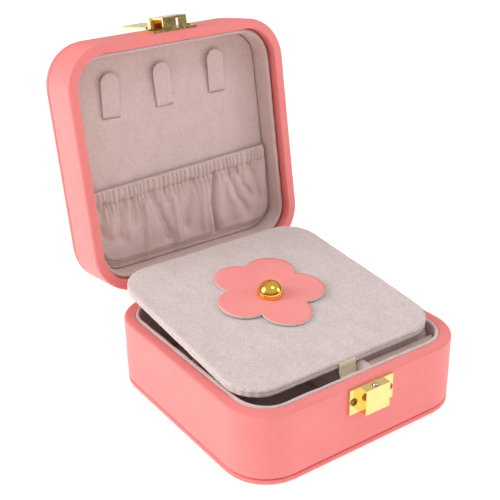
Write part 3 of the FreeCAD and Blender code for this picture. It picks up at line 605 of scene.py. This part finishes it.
GOLD = metal_finish("gold_plate", linear(255, 229, 158), linear(250, 215, 134), 0.1, 0.26,
                    0.35)
STEEL = metal_finish("ball_steel", linear(212, 208, 200), linear(186, 182, 176), 0.08, 0.2,
                     0.2)
SCREW_BRASS = metal_finish("screw_brass", linear(176, 140, 66), linear(120, 90, 40), 0.22, 0.4,
                           0.35)


def eased(name, node_name, material=GOLD, width=0.13):
    """A stamped metal part: the frame's own shape with its sharp edges broken."""
    body = PIECE_BODY[node_name]
    bm = bmesh.new()
    bm.from_mesh(frame["nodes"][node_name].data)
    bmesh.ops.transform(bm, matrix=Matrix.Scale(1 / MM, 4) @ SHUT[body], verts=bm.verts[:])
    bmesh.ops.remove_doubles(bm, verts=bm.verts[:], dist=0.002)
    bmesh.ops.dissolve_limit(bm, angle_limit=math.radians(1), verts=bm.verts[:],
                             edges=bm.edges[:])
    sharp = [edge for edge in bm.edges if edge.is_manifold
             and abs(edge.calc_face_angle()) > math.radians(50)]
    broken(bm, sharp, width, 2, clamp_overlap=True)
    for edge in bm.edges:
        edge.smooth = edge.is_manifold and abs(edge.calc_face_angle()) < math.radians(18)
    return made(name, bm, body, "brass", [node_name], material)


SCREW_HEAD = (shut_box("catch_screws")[1].z - shut_box("catch_screws")[0].z) / 2
SCREW_DOME = 0.55
CROSS_DEEP = 0.42


def cross_screws(name, node_name, spots, facing):
    """Screws with domed heads and a cross recess; facing is -1 to the front, 1 to the back."""
    heads = bmesh.new()
    for count, (x, y, z) in enumerate(spots):
        bm = rounded_plate(SCREW_HEAD, SCREW_HEAD, 26)
        for vert in bm.verts:
            vert.co.z = SCREW_DOME - 0.3 * (vert.co.xy.length / SCREW_HEAD) ** 2
        arm, reach = SCREW_HEAD * 0.19, SCREW_HEAD * 0.7
        slot = []
        for face in bm.faces:
            c = face.calc_center_median()
            if (abs(c.x) < arm and abs(c.y) < reach) or (abs(c.y) < arm and abs(c.x) < reach):
                slot.append(face)
        sunk = only(bmesh.types.BMVert, bmesh.ops.extrude_face_region(bm, geom=slot))
        bmesh.ops.delete(bm, geom=slot, context="FACES_ONLY")
        bmesh.ops.translate(bm, verts=sunk, vec=(0, 0, -CROSS_DEEP))
        rim = [edge for edge in bm.edges if edge.is_boundary]
        for vert in only(bmesh.types.BMVert, bmesh.ops.extrude_edge_only(bm, edges=rim)):
            vert.co.z = 0.0
        turn = Matrix.Rotation(0.35 + count * 1.1, 4, "Z")
        stand = Matrix.Rotation(math.radians(90 if facing < 0 else -90), 4, "X")
        bmesh.ops.transform(bm, matrix=Matrix.Translation((x, y, z)) @ stand @ turn,
                            verts=bm.verts[:])
        bmesh.ops.recalc_face_normals(bm, faces=bm.faces[:])
        part = bpy.data.meshes.new("screw")
        bm.to_mesh(part)
        bm.free()
        heads.from_mesh(part)
    for edge in heads.edges:
        edge.smooth = edge.is_manifold and abs(edge.calc_face_angle()) < math.radians(35)
    return made(name, heads, PIECE_BODY[node_name], "brass", [node_name], SCREW_BRASS)


def screw_row(node_name, pairs, face_y):
    """Screw centres: mirrored pairs of x places at the middle height of the node."""
    low, high = shut_box(node_name)
    return [(way * x, face_y, (low.z + high.z) / 2) for x in pairs for way in (-1, 1)]


PLATE_THICK = 1.0
PLATE_FACE = -CASE_HALF - PLATE_THICK
eased("catch_plate_gold", "catch_plate")
screw_out = shut_box("catch_screws")[1].x - SCREW_HEAD
cross_screws("catch_screw_heads", "catch_screws",
             screw_row("catch_screws", [screw_out], PLATE_FACE), -1)
repaint("catch_ball", STEEL)
repaint("catch_spring", STEEL)

# ---- Two butt hinges on the back -----------------------------------------------------
# Gold-plated leaves on the outside of the back walls, three knuckles on each pin, with
# two screws in each leaf.
for side in ("left", "right"):
    eased("hinge_base_leaf_gold_" + side, "hinge_base_leaf_" + side)
    eased("hinge_lid_leaf_gold_" + side, "hinge_lid_leaf_" + side)
    eased("hinge_pin_gold_" + side, "hinge_pin_" + side)
LEAF_THICK = 0.8
leaf_low, leaf_high = shut_box("hinge_base_leaf_right")
leaf_middle = (leaf_low.x + leaf_high.x) / 2
screw_off = shut_box("hinge_base_screws")[1].x - SCREW_HEAD - leaf_middle
places = [leaf_middle - screw_off, leaf_middle + screw_off]
for body in ("base", "lid"):
    screws = "hinge_%s_screws" % body
    cross_screws("hinge_%s_screw_heads" % body, screws,
                 screw_row(screws, places, CASE_HALF + LEAF_THICK), 1)

# ---- Lid walls and top panel ---------------------------------------------------------
# Made as the base is, upside down: a leather skin over fibreboard that wraps the rim and
# stops at a groove under the separately covered top panel.


def upended(profile):
    """A profile turned upside down, for the lid."""
    return [(inset, -height) for inset, height in profile]


lid_low, lid_high = shut_box("lid_leather")
LID_RIM = CASE_HALF - shut_box("lid_lining")[1].x
LID_LAP = 5.5
bm = moulding(upended(skin_profile(-lid_high.z, -lid_low.z, LID_RIM, LID_LAP)))
# The leather's ends meet in a seam on the front, a little to the right of the middle.
seam_x, seam_half = 3.0, 0.35
for place in (seam_x - seam_half, seam_x, seam_x + seam_half):
    near_side = [f for f in bm.faces if f.calc_center_median().y < 0]
    around = {v for f in near_side for v in f.verts} | {e for f in near_side for e in f.edges}
    bmesh.ops.bisect_plane(bm, geom=list(around) + near_side, plane_co=(place, 0, 0),
                           plane_no=(1, 0, 0))
bm.normal_update()
for vert in bm.verts:
    if vert.co.y < 0 and abs(vert.co.x - seam_x) < 0.01:
        vert.co -= vert.normal * 0.14
uneven(bm, 0.1, 9.0, 12.0, lambda spot: spot.z < lid_high.z - 2)
made("lid_skin", bm, "lid", "pink_leather", ["lid_leather"], CORAL)


def turned_over(bm):
    """Mirrors a piece drawn face up into one that faces down."""
    bmesh.ops.scale(bm, verts=bm.verts[:], vec=(1, 1, -1))
    bmesh.ops.recalc_face_normals(bm, faces=bm.faces[:])
    return bm


low, high = shut_box("lid_top_panel")
made("lid_top", turned_over(covered_panel(-low.z, -high.z)), "lid", "pink_leather",
     ["lid_top_panel"], CORAL)

# ---- Velvet insides of the lid -------------------------------------------------------
# A wall lining set back from the rim, to leave room for the cover board, and a foam pad
# under velvet across the lid, slit for the three tabs.
low, high = shut_box("lid_lining")
pad_low, pad_high = shut_box("lid_lining_pad")
PAD_HALF = pad_high.x
PAD_CORNER = CASE_CORNER - CASE_HALF + PAD_HALF
bm = moulding(upended(lining_profile(LID_RIM, CASE_HALF - PAD_HALF, -high.z, -low.z)),
              corner_steps=18, side_steps=40)
uneven(bm, 0.2, 5.0, 21.0, lambda spot: spot.z < pad_low.z)
lining = made("lid_lining_velvet", bm, "lid", "velvet", ["lid_lining"], VELVET_PAINTED_WARM_SHADE)

# The tabs were glued in by hand: how far each one lies off its place, across and down,
# and how many degrees it leans.
TAB_SIDES = ("left", "middle", "right")
TAB_OFF = [(-0.7, 0.8, 3.5), (-0.6, 0.3, -2.0), (0.2, -1.0, -0.5)]
tab_boxes = [shut_box("necklace_tab_" + side) for side in TAB_SIDES]
for spots, (off_x, off_y, _) in zip(tab_boxes, TAB_OFF):
    for spot in spots:
        spot += Vector((off_x, off_y, 0))
bm = crowned(PAD_HALF - 0.15, PAD_CORNER - 0.15, 150, -pad_high.z, -pad_low.z, 0.25, 1.0)
for vert in bm.verts:
    for tab_low, tab_high in tab_boxes:
        if (tab_low.x - 0.2 < vert.co.x < tab_high.x + 0.2
                and abs(vert.co.y - tab_high.y) < 0.4 and vert.co.z > -pad_low.z - 0.6):
            vert.co.z -= 0.9
uneven(bm, 0.1, 2.5, 2.0)
pad = made("lid_pad_velvet", turned_over(bm), "lid", "velvet", ["lid_lining_pad"], VELVET_PAINTED_WARM_SHADE)

# ---- Necklace tabs -------------------------------------------------------------------
# Three stiffened velvet tongues that come out of slits in the pad and stand a little off
# it at their round free ends, to hold chains.
TAB_CELLS = 14
TAB_THICK = 0.75
TAB_LEAN = (0.0, 0.25, 0.5)
for number, (low, high) in enumerate(tab_boxes):
    half = (high.x - low.x) / 2
    length = high.y - low.y
    bm = bmesh.new()
    bmesh.ops.create_grid(bm, x_segments=TAB_CELLS, y_segments=3 * TAB_CELLS, size=0.5)
    bmesh.ops.scale(bm, verts=bm.verts[:], vec=(half * 2, length, 1))
    straight = length / 2 - half
    for vert in bm.verts:
        beyond = -vert.co.y - straight
        if beyond > 0:
            shrink = max(abs(vert.co.x), beyond) / math.hypot(vert.co.x, beyond)
            vert.co.x *= shrink
            vert.co.y = -straight - beyond * shrink
    top = only(bmesh.types.BMVert, bmesh.ops.extrude_face_region(bm, geom=bm.faces[:]))
    bmesh.ops.translate(bm, verts=top, vec=(0, 0, TAB_THICK))
    bmesh.ops.recalc_face_normals(bm, faces=bm.faces[:])
    corners = [e for e in bm.edges if e.is_manifold
               and abs(e.calc_face_angle()) > math.radians(60)
               and abs(e.verts[0].co.z - e.verts[1].co.z) < 0.01]
    broken(bm, corners, 0.2, 3)
    for vert in bm.verts:
        free = 0.5 - vert.co.y / length
        lift = 0.1 + (0.9 + TAB_LEAN[number]) * free ** 1.3
        twist = 0.03 * vert.co.x * free
        vert.co.z += lift - twist - 0.8 * max(0.0, 0.06 - free) / 0.06
    uneven(bm, 0.08, 3.0, number * 5.0)
    root = Vector((0, length / 2, 0))
    turn = Matrix.Rotation(math.radians(TAB_OFF[number][2]), 4, "Z")
    bmesh.ops.transform(bm, verts=bm.verts[:], matrix=(
        Matrix.Translation(((low.x + high.x) / 2, (low.y + high.y) / 2, -pad_low.z))
        @ Matrix.Translation(root) @ turn @ Matrix.Translation(-root)))
    tab = made("necklace_tab_velvet_%d" % (number + 1), turned_over(bm), "lid",
               "velvet", ["necklace_tab_" + TAB_SIDES[number]], VELVET_PAINTED_WARM_SHADE)

# ---- Gathered pocket -----------------------------------------------------------------
# One piece of velvet across the bottom of the lid pad, gathered on an elastic in a hem
# along its mouth. The hem ruches finely; below it the fullness falls in a few irregular
# folds that are glued down round the sides and bottom.
band_low, band_high = shut_box("pocket_band")
POCKET_HALF = PAD_HALF - 0.2
POCKET_CORNER = PAD_CORNER - 2.4
MOUTH_Y = band_low.y
FOOT_Y = shut_box("gathered_pocket")[1].y - 0.9
HEM = band_high.y - band_low.y
FOLD_GAIN = 2.2
# Each fold: the points (x, y) its line passes through, half width, rise, fade in, fade out.
FOLDS = [
    ([(-20.4, 17), (-19.4, 23.7), (-20.3, 31.5), (-21.7, 41)], 1.0, 0.95, 1.0, 0.5),
    ([(-5.8, 19.6), (-5.4, 27.3), (-5.7, 35.4), (-6.1, 41)], 1.1, 0.6, 1.5, 0.8),
    ([(8.4, 15.5), (8.2, 26.3), (7.8, 35)], 1.4, 0.6, 1.0, 5.0),
    ([(15.8, 13.6), (14.3, 20), (13.2, 26.5), (13.4, 41)], 0.8, -1.9, 1.5, 0.3),
    ([(12.4, 15), (11.2, 22), (11.0, 34)], 1.5, 0.55, 2.0, 6.0),
    ([(17.4, 15), (16.6, 24), (16.2, 34)], 1.9, 0.6, 2.0, 6.0),
    ([(-15.6, 15), (-12.8, 24.8), (-10.0, 34.5)], 1.7, -1.25, 2.5, 5.0),
    ([(3.4, 14), (1.4, 23.5), (-0.7, 31)], 1.9, -1.3, 2.0, 7.0),
    ([(-24.6, 15.5), (-24.9, 24.5)], 1.3, -1.1, 1.5, 4.0),
    ([(23.0, 15), (26.1, 25.0), (30.5, 33)], 1.6, -0.8, 3.0, 6.0),
    ([(27.5, 14.5), (29.5, 20), (33.8, 27.5)], 1.3, -0.6, 2.0, 4.0),
    ([(20.5, 14.5), (22.0, 21), (25.0, 32)], 2.2, 0.6, 2.0, 6.0),
    ([(34.5, 14), (37.2, 20), (38.6, 29)], 1.3, -0.8, 2.0, 4.0),
    ([(-29.0, 15), (-31.0, 22), (-32.5, 29)], 1.5, -0.75, 2.0, 5.0),
    ([(-32.7, 14.5), (-34.7, 20), (-36.4, 27)], 1.1, 0.55, 1.5, 4.0),
    ([(-37.4, 14), (-39.4, 20), (-40.2, 26)], 1.1, -0.8, 1.0, 4.0),
    ([(-27.4, 14.5), (-27.8, 21), (-28.4, 29)], 1.2, 0.5, 1.5, 5.0),
    ([(-9.0, 14.5), (-8.6, 20)], 0.9, -0.6, 1.0, 3.0),
]


def smooth(value):
    """An even start and stop between 0 and 1."""
    value = max(0.0, min(1.0, value))
    return value * value * (3 - 2 * value)


def fold_height(x, y, points, half, rise, fade_in, fade_out):
    """How far one fold lifts the cloth at a point; its line bends through its points."""
    if not points[0][1] - fade_in < y < points[-1][1] + fade_out:
        return 0.0
    at = points[0][0]
    for (xa, ya), (xb, yb) in zip(points, points[1:]):
        if y > ya:
            at = xa + (xb - xa) * smooth(min(1.0, (y - ya) / (yb - ya)))
    ends = (smooth((y - points[0][1] + fade_in) / fade_in)
            * smooth((points[-1][1] + fade_out - y) / fade_out))
    spread = half * (1 + 0.25 * noise.noise(Vector((x / 9, y / 6, rise))))
    return rise * ends * math.exp(-((x - at) / spread) ** 2)


def mouth_at(x):
    """Where the pocket's mouth is along Y: slightly askew and wavy."""
    return MOUTH_Y + 0.3 - 0.032 * x + 0.25 * noise.noise(Vector((x / 14, 0, 3)))


def pocket_lift(x, y, side, foot):
    """Height of the pocket cloth off the pad, in millimetres."""
    down = y - mouth_at(x)
    pitch = 2.15 + 0.3 * noise.noise(Vector((x / 11, 5, 0)))
    beat = x / pitch + 0.35 * noise.noise(Vector((x / 3, 1, 0)))
    ruche = math.cos(2 * math.pi * beat) * (0.8 + 0.5 * noise.noise(Vector((x / 2.6, 7, 0))))
    hem = smooth((HEM + 0.7 - down) / 1.4)
    puff = 0.3 * math.sin(math.pi * max(0.0, min(1.0, down / HEM)))
    pleats = smooth(down / 0.9) * hem * 0.78 + (1 - hem) * 1.25 * math.exp(-(down - HEM) / 3.6)
    stitch = -0.6 * math.exp(-((down - HEM) / 0.5) ** 2)
    full = 1.6 * smooth(side / 2.2) * smooth(foot / 2.6)
    slack = 0.8 * noise.noise(Vector((x / 6.5, y / 10, 2))) * smooth((down - HEM) / 3)
    folds = FOLD_GAIN * sum(fold_height(x, y, *fold) for fold in FOLDS)
    edge = smooth(side / 1.6) * smooth(foot / 1.6)
    shape = hem * puff + pleats * ruche + stitch + slack + folds
    return max(0.1, 0.3 + full + edge * shape)


bm = bmesh.new()
ACROSS, DOWN = 230, 84
bmesh.ops.create_grid(bm, x_segments=ACROSS, y_segments=DOWN, size=0.5)
for vert in bm.verts:
    x, part = vert.co.x * 2 * POCKET_HALF, vert.co.y + 0.5
    y = mouth_at(x) + (FOOT_Y - mouth_at(x)) * part
    dx, dy = abs(x) - (POCKET_HALF - POCKET_CORNER), y - (FOOT_Y - POCKET_CORNER)
    if dx > 0 and dy > 0:
        shrink = max(dx, dy) / math.hypot(dx, dy)
        x = math.copysign(POCKET_HALF - POCKET_CORNER + dx * shrink, x)
        y = FOOT_Y - POCKET_CORNER + dy * shrink
        side = foot = POCKET_CORNER - math.hypot(dx, dy) * shrink
    else:
        side, foot = POCKET_HALF - abs(x), FOOT_Y - y
    vert.co = (x, y, pocket_lift(x, y, side, foot))
lip = [e for e in bm.edges if e.is_boundary
       and all(abs(v.co.y - mouth_at(v.co.x)) < 0.05 for v in e.verts)]
for step_y, step_z in ((-0.12, -0.35), (0.5, -0.4)):
    turned = bmesh.ops.extrude_edge_only(bm, edges=lip)
    lip = only(bmesh.types.BMEdge, turned)
    for vert in only(bmesh.types.BMVert, turned):
        vert.co.y += step_y
        vert.co.z += step_z
bmesh.ops.translate(bm, verts=bm.verts[:], vec=(0, 0, -pad_low.z))
pocket = made("gathered_pocket_velvet", turned_over(bm), "lid", "velvet",
              ["gathered_pocket", "pocket_band"], VELVET_PAINTED_WARM_SHADE)
thick = pocket.modifiers.new("cloth", "SOLIDIFY")
thick.thickness = 0.3 * MM
thick.offset = -1

# The elastic's stitches: one row of short thread loops along the foot of the hem.
bm = bmesh.new()
STITCHES = 58
for number in range(STITCHES):
    x = -POCKET_HALF + 2.5 + (2 * POCKET_HALF - 5) * number / (STITCHES - 1)
    y = mouth_at(x) + HEM
    z = pocket_lift(x, y, POCKET_HALF - abs(x), FOOT_Y - y) - pad_low.z
    spot = (Matrix.Translation((x, y, z + 0.02)) @ Matrix.Rotation(0.12, 4, "Z")
            @ Matrix.Diagonal((0.42, 0.1, 0.09, 1)))
    bmesh.ops.create_icosphere(bm, subdivisions=1, radius=1.0, matrix=spot)
THREAD = velvet_finish("thread", linear(214, 198, 192), linear(190, 172, 168), 3000.0, 0.03)
made("pocket_stitches", turned_over(bm), "lid", "velvet", [], THREAD)

# ---- Hasp on the front of the lid ----------------------------------------------------
# A gold-plated plate with a hollow hood that meets the block below, and a thin flap on a
# pin above it. The flap hangs over hood and block when shut and lies back when open.
eased("hasp_plate_gold", "hasp_plate", width=0.1)
eased("hasp_flap_gold", "hasp_flap", width=0.1)
eased("flap_pin_gold", "flap_pin", width=0.05)
cross_screws("hasp_screw_heads", "hasp_screws",
             screw_row("hasp_screws", [screw_out], PLATE_FACE), -1)

# ---- Cover board ---------------------------------------------------------------------
# A loose board over the trays: fibreboard wrapped in velvet that puckers round the
# corners, with a second thin velvet board glued underneath, which leaves a fine crease.
low, high = shut_box("cover_velvet")
COVER_HALF = (high.x - low.x) / 2
COVER_X = (high.x + low.x) / 2
COVER_Y = (high.y + low.y) / 2
COVER_CORNER = 13.5
PUCKERS, PUCKER_DEEP = 26, 0.13
crease = low.z + (high.z - low.z) * 0.52
profile = ([(1.2, high.z)] + arc(0.9, high.z - 0.9, 0.9, 105, 180, 6)
           + [(0.04, crease + 0.4), (0.12, crease + 0.18), (0.42, crease),
              (0.16, crease - 0.18), (0.06, crease - 0.4)]
           + arc(0.6, low.z + 0.5, 0.55, 180, 262, 4) + [(3.0, low.z)])
bm = board_block(COVER_HALF, COVER_CORNER, 200, high.z, profile)
flat = COVER_HALF - COVER_CORNER
bm.normal_update()
for vert in bm.verts:
    dx, dy = abs(vert.co.x) - flat, abs(vert.co.y) - flat
    edge_side = low.z + 0.2 < vert.co.z < high.z - 0.5
    if dx > 0 and dy > 0 and edge_side:
        turn = math.atan2(dy, dx)
        pucker = math.sin(turn * PUCKERS + 1.5 * noise.noise(vert.co / 4))
        vert.co += vert.normal * (PUCKER_DEEP * pucker * math.sin(2 * turn) ** 0.5)
uneven(bm, 0.1, 2.2, 31.0)
uneven(bm, 0.3, 30.0, 5.0, lambda spot: spot.z > high.z - 0.4)
bmesh.ops.translate(bm, verts=bm.verts[:], vec=(COVER_X, COVER_Y, 0))
BOARD_VELVET = velvet_finish("board_velvet", linear(226, 213, 210), linear(205, 190, 187))
made("cover_board_velvet", bm, "cover", "velvet", ["cover_velvet", "cover_backing"],
     BOARD_VELVET)

# ---- Flower and stud -----------------------------------------------------------------
# Five round petals die-cut in one piece from the case leather, with a pale cut edge and
# backing, held to the board by a domed gold stud through its heart.
flower_low, flower_high = shut_box("flower")
stud_low, stud_high = shut_box("flower_stud")
STUD_ROUND = (stud_high.x - stud_low.x) / 2
HEART_X = (stud_low.x + stud_high.x) / 2
HEART_Y = (stud_low.y + stud_high.y) / 2
PETAL_ROUND = 9.87
# Each petal's centre from the stud's, along X and Y.
PETALS = [(9.66, 13.71), (-4.41, 14.71), (-12.42, -0.14), (-1.44, -12.2), (12.54, -2.42)]
PETAL_THICK = flower_high.z - flower_low.z


def petal_reach(turn):
    """How far the outline of the overlapping round petals is from the stud's centre."""
    way = Vector((math.cos(turn), math.sin(turn)))
    reach = 0.0
    for centre in PETALS:
        along = way.dot(centre)
        inside = PETAL_ROUND ** 2 - Vector(centre).length_squared + along ** 2
        if inside > 0:
            reach = max(reach, along + math.sqrt(inside))
    return reach


def spun(points, steps, merge):
    """A line of (radius, height) points spun all round the upright axis."""
    bm = bmesh.new()
    line = [bm.verts.new((radius, 0, z)) for radius, z in points]
    edges = [bm.edges.new(pair) for pair in zip(line, line[1:])]
    bmesh.ops.spin(bm, geom=line + edges, cent=(0, 0, 0), axis=(0, 0, 1),
                   angle=2 * math.pi, steps=steps, use_merge=True)
    bmesh.ops.remove_doubles(bm, verts=bm.verts[:], dist=merge)
    return bm


RINGS = 20
bm = spun([(i / RINGS, 0) for i in range(RINGS + 1)], 360, 1e-6)
for vert in bm.verts:
    part, turn = vert.co.xy.length, math.atan2(vert.co.y, vert.co.x)
    reach = petal_reach(turn) * part
    lift = (0.25 * part ** 2 * (1 + math.sin(turn * 2 + 1.2))
            + 0.12 * part * math.sin(turn * 5 - 1.0))
    vert.co = (reach * math.cos(turn), reach * math.sin(turn), PETAL_THICK + lift)
bmesh.ops.recalc_face_normals(bm, faces=bm.faces[:])
if sum(face.normal.z for face in bm.faces) < 0:
    bmesh.ops.reverse_faces(bm, faces=bm.faces[:])
face_side = bm.faces[:]
rim = [edge for edge in bm.edges if edge.is_boundary]
for drop, inset in ((0.18, -0.06), (0.27, -0.02), (0.27, 0.0)):
    drawn = bmesh.ops.extrude_edge_only(bm, edges=rim)
    rim = only(bmesh.types.BMEdge, drawn)
    for vert in only(bmesh.types.BMVert, drawn):
        away = vert.co.xy.normalized()
        vert.co = (vert.co.x - away.x * inset, vert.co.y - away.y * inset,
                   vert.co.z - drop)
bmesh.ops.holes_fill(bm, edges=rim, sides=0)
bmesh.ops.recalc_face_normals(bm, faces=bm.faces[:])
for face in bm.faces:
    face.material_index = 1
for face in face_side:
    face.material_index = 0
bmesh.ops.translate(bm, verts=bm.verts[:], vec=(HEART_X, HEART_Y, flower_low.z))
PETAL_CORAL = leather_finish("petal_leather", linear(255, 158, 155), linear(252, 150, 147),
                             3000.0, 0.03)
CUT_EDGE = velvet_finish("cut_backing", linear(236, 222, 216), linear(214, 196, 190),
                         3200.0, 0.05)
made("flower_leather", bm, "cover", "pink_leather", ["flower"], PETAL_CORAL, CUT_EDGE)

# The stud: a half ball on a short skirt, rolled in underneath.
STUD_SKIRT = 0.5
profile = ([(0.0, flower_low.z + PETAL_THICK - 0.3), (STUD_ROUND - 0.5, flower_high.z - 0.1),
            (STUD_ROUND - 0.12, flower_high.z + 0.02), (STUD_ROUND, flower_high.z + 0.25)]
           + [(STUD_ROUND * math.cos(t), flower_high.z + STUD_SKIRT + STUD_ROUND * math.sin(t))
              for t in [math.radians(a) for a in range(0, 90, 5)]]
           + [(0.0, flower_high.z + STUD_SKIRT + STUD_ROUND)])
bm = spun(profile, 64, 1e-4)
bmesh.ops.recalc_face_normals(bm, faces=bm.faces[:])
bmesh.ops.translate(bm, verts=bm.verts[:], vec=(HEART_X, HEART_Y, 0))
STUD_GOLD = metal_finish("stud_gold", linear(255, 205, 96), linear(246, 186, 76), 0.06, 0.14,
                         0.08)
made("flower_stud_gold", bm, "cover", "brass", ["flower_stud"], STUD_GOLD)
repaint("stud_washer", GOLD)

# ---- Pull ribbon ---------------------------------------------------------------------
# A short length of beige grosgrain glued in the crease of the cover board's front edge,
# to lift it by. It bends out and down over the tray in a shallow S.
ribbon_low, ribbon_high = shut_box("pull_ribbon")
RIBBON_X = (ribbon_low.x + ribbon_high.x) / 2
RIBBON_WIDE = ribbon_high.x - ribbon_low.x
front = COVER_Y - COVER_HALF
path = [(front + 0.3, crease + 0.6), (front - 0.1, crease + 0.3), (front - 0.3, crease - 0.8),
        (front - 0.2, low.z - 0.6), (front - 0.3, low.z - 2.0), (front - 0.6, low.z - 3.4),
        (front - 1.5, low.z - 4.4), (front - 1.9, ribbon_low.z)]
bm = bmesh.new()
bmesh.ops.create_grid(bm, x_segments=26, y_segments=150, size=0.5)
lengths = [0.0]
for here, there in zip(path, path[1:]):
    lengths.append(lengths[-1] + math.dist(here, there))


def on_path(along):
    """A smooth place on the ribbon's path, by distance from its glued end."""
    for i in range(len(path) - 1):
        if along <= lengths[i + 1] or i == len(path) - 2:
            part = (along - lengths[i]) / (lengths[i + 1] - lengths[i])
            before, after = path[max(0, i - 1)], path[min(len(path) - 1, i + 2)]
            spot = []
            for k in (0, 1):
                a, b, c, d = before[k], path[i][k], path[i + 1][k], after[k]
                spot.append(0.5 * (2 * b + (c - a) * part + (2 * a - 5 * b + 4 * c - d)
                                   * part ** 2 + (3 * b - a - 3 * c + d) * part ** 3))
            return spot


RIB_PITCH = 0.8
for vert in bm.verts:
    part, side = 0.5 - vert.co.y, vert.co.x
    along = part * lengths[-1]
    y, z = on_path(along)
    rib = 0.07 * math.sin(2 * math.pi * along / RIB_PITCH)
    selvedge = 0.05 if abs(side) > 0.44 else 0.0
    cup = 0.5 * (side * 2) ** 2 * part
    vert.co = (RIBBON_X + side * RIBBON_WIDE + 1.3 * part ** 2,
               y - rib - selvedge - cup * 0.5 - 0.1 * side, z)
bmesh.ops.recalc_face_normals(bm, faces=bm.faces[:])
GROSGRAIN = two_tone("grosgrain", linear(228, 210, 174), linear(250, 240, 216), 4200.0, 2.0,
                     0.4, 0.05, Roughness=0.6, Sheen_Weight=0.25, Sheen_Roughness=0.4,
                     Specular_IOR_Level=0.3)
ribbon = made("pull_ribbon_weave", bm, "cover", "ribbon", ["pull_ribbon"], GROSGRAIN)
thick = ribbon.modifiers.new("weave", "SOLIDIFY")
thick.thickness = 0.25 * MM
thick.offset = 0
root = Vector((RIBBON_X, front, crease + 0.5))
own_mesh(ribbon)

# ---- Table, light and camera ---------------------------------------------------------
# A plain white table under a soft white room, with a large lamp to the left and another
# to the right.
bm = bmesh.new()
bmesh.ops.create_circle(bm, cap_ends=True, radius=6.0, segments=96)
bmesh.ops.translate(bm, verts=bm.verts[:], vec=(0, 0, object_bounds()[0].z - 0.0002))
mesh = bpy.data.meshes.new("table")
bm.to_mesh(mesh)
bm.free()
table = stood("table", mesh)
material, tree, shader = finish("white_table", Roughness=0.9, Emission_Strength=0.5,
                                Specular_IOR_Level=0.1)
shader.inputs["Base Color"].default_value = (0.85, 0.85, 0.85, 1)
shader.inputs["Emission Color"].default_value = (1, 1, 1, 1)
mesh.materials.append(material)

world = bpy.data.worlds.new("studio")
bpy.context.scene.world = world
world.use_nodes = True
tree = world.node_tree
up = node(tree, "SeparateXYZ", {0: node(tree, "TexCoord").outputs["Generated"]})
ramp = node(tree, "ValToRGB", {"Fac": up.outputs["Z"]})
ramp.color_ramp.elements[0].color = (0.08, 0.075, 0.07, 1)
ramp.color_ramp.elements[1].color = (1, 1, 1, 1)
ramp.color_ramp.elements[1].position = 0.5
sky = tree.nodes["Background"]
tree.links.new(ramp.outputs["Color"], sky.inputs["Color"])
sky.inputs["Strength"].default_value = 0.62


def lamp(name, place, aim, power, wide, tall):
    """A soft lamp of so many metres, turned to what it lights."""
    light = bpy.data.lights.new(name, "AREA")
    light.shape = "RECTANGLE"
    light.size, light.size_y, light.energy = wide, tall, power
    holder = stood(name, light)
    holder.location = place
    holder.rotation_euler = (Vector(aim) - Vector(place)).to_track_quat("-Z", "Y").to_euler()


lamp("left_lamp", (-1.0, 0.42, 0.6), (0, 0, 0.05), 8.5, 0.7, 0.7)
lamp("right_lamp", (0.95, -0.7, 0.45), (0, 0, 0.03), 2.4, 0.5, 0.5)
lamp("top_lamp", (0.1, -0.45, 1.1), (0, 0, 0.05), 1.9, 0.4, 0.4)

camera = bpy.data.cameras.new("camera")
camera.lens = 70.13
camera.sensor_width = 36.0
camera.clip_start = 0.01
holder = stood("camera", camera)
CAMERA_PLACE = (-0.196671, -0.261891, 0.216934)
AZIMUTH, ELEVATION, ROLL = math.radians(-34.67), math.radians(25.75), math.radians(-1.0)
back = Vector((math.sin(AZIMUTH) * math.cos(ELEVATION),
               -math.cos(AZIMUTH) * math.cos(ELEVATION), math.sin(ELEVATION)))
level = Vector((math.cos(AZIMUTH), math.sin(AZIMUTH), 0))
upright = back.cross(level)
right = level * math.cos(ROLL) + upright * math.sin(ROLL)
above = upright * math.cos(ROLL) - level * math.sin(ROLL)
holder.matrix_world = (Matrix.Translation(CAMERA_PLACE)
                       @ Matrix((right, above, back)).transposed().to_4x4())
bpy.context.scene.camera = holder
bpy.context.scene.view_settings.view_transform = "Standard"
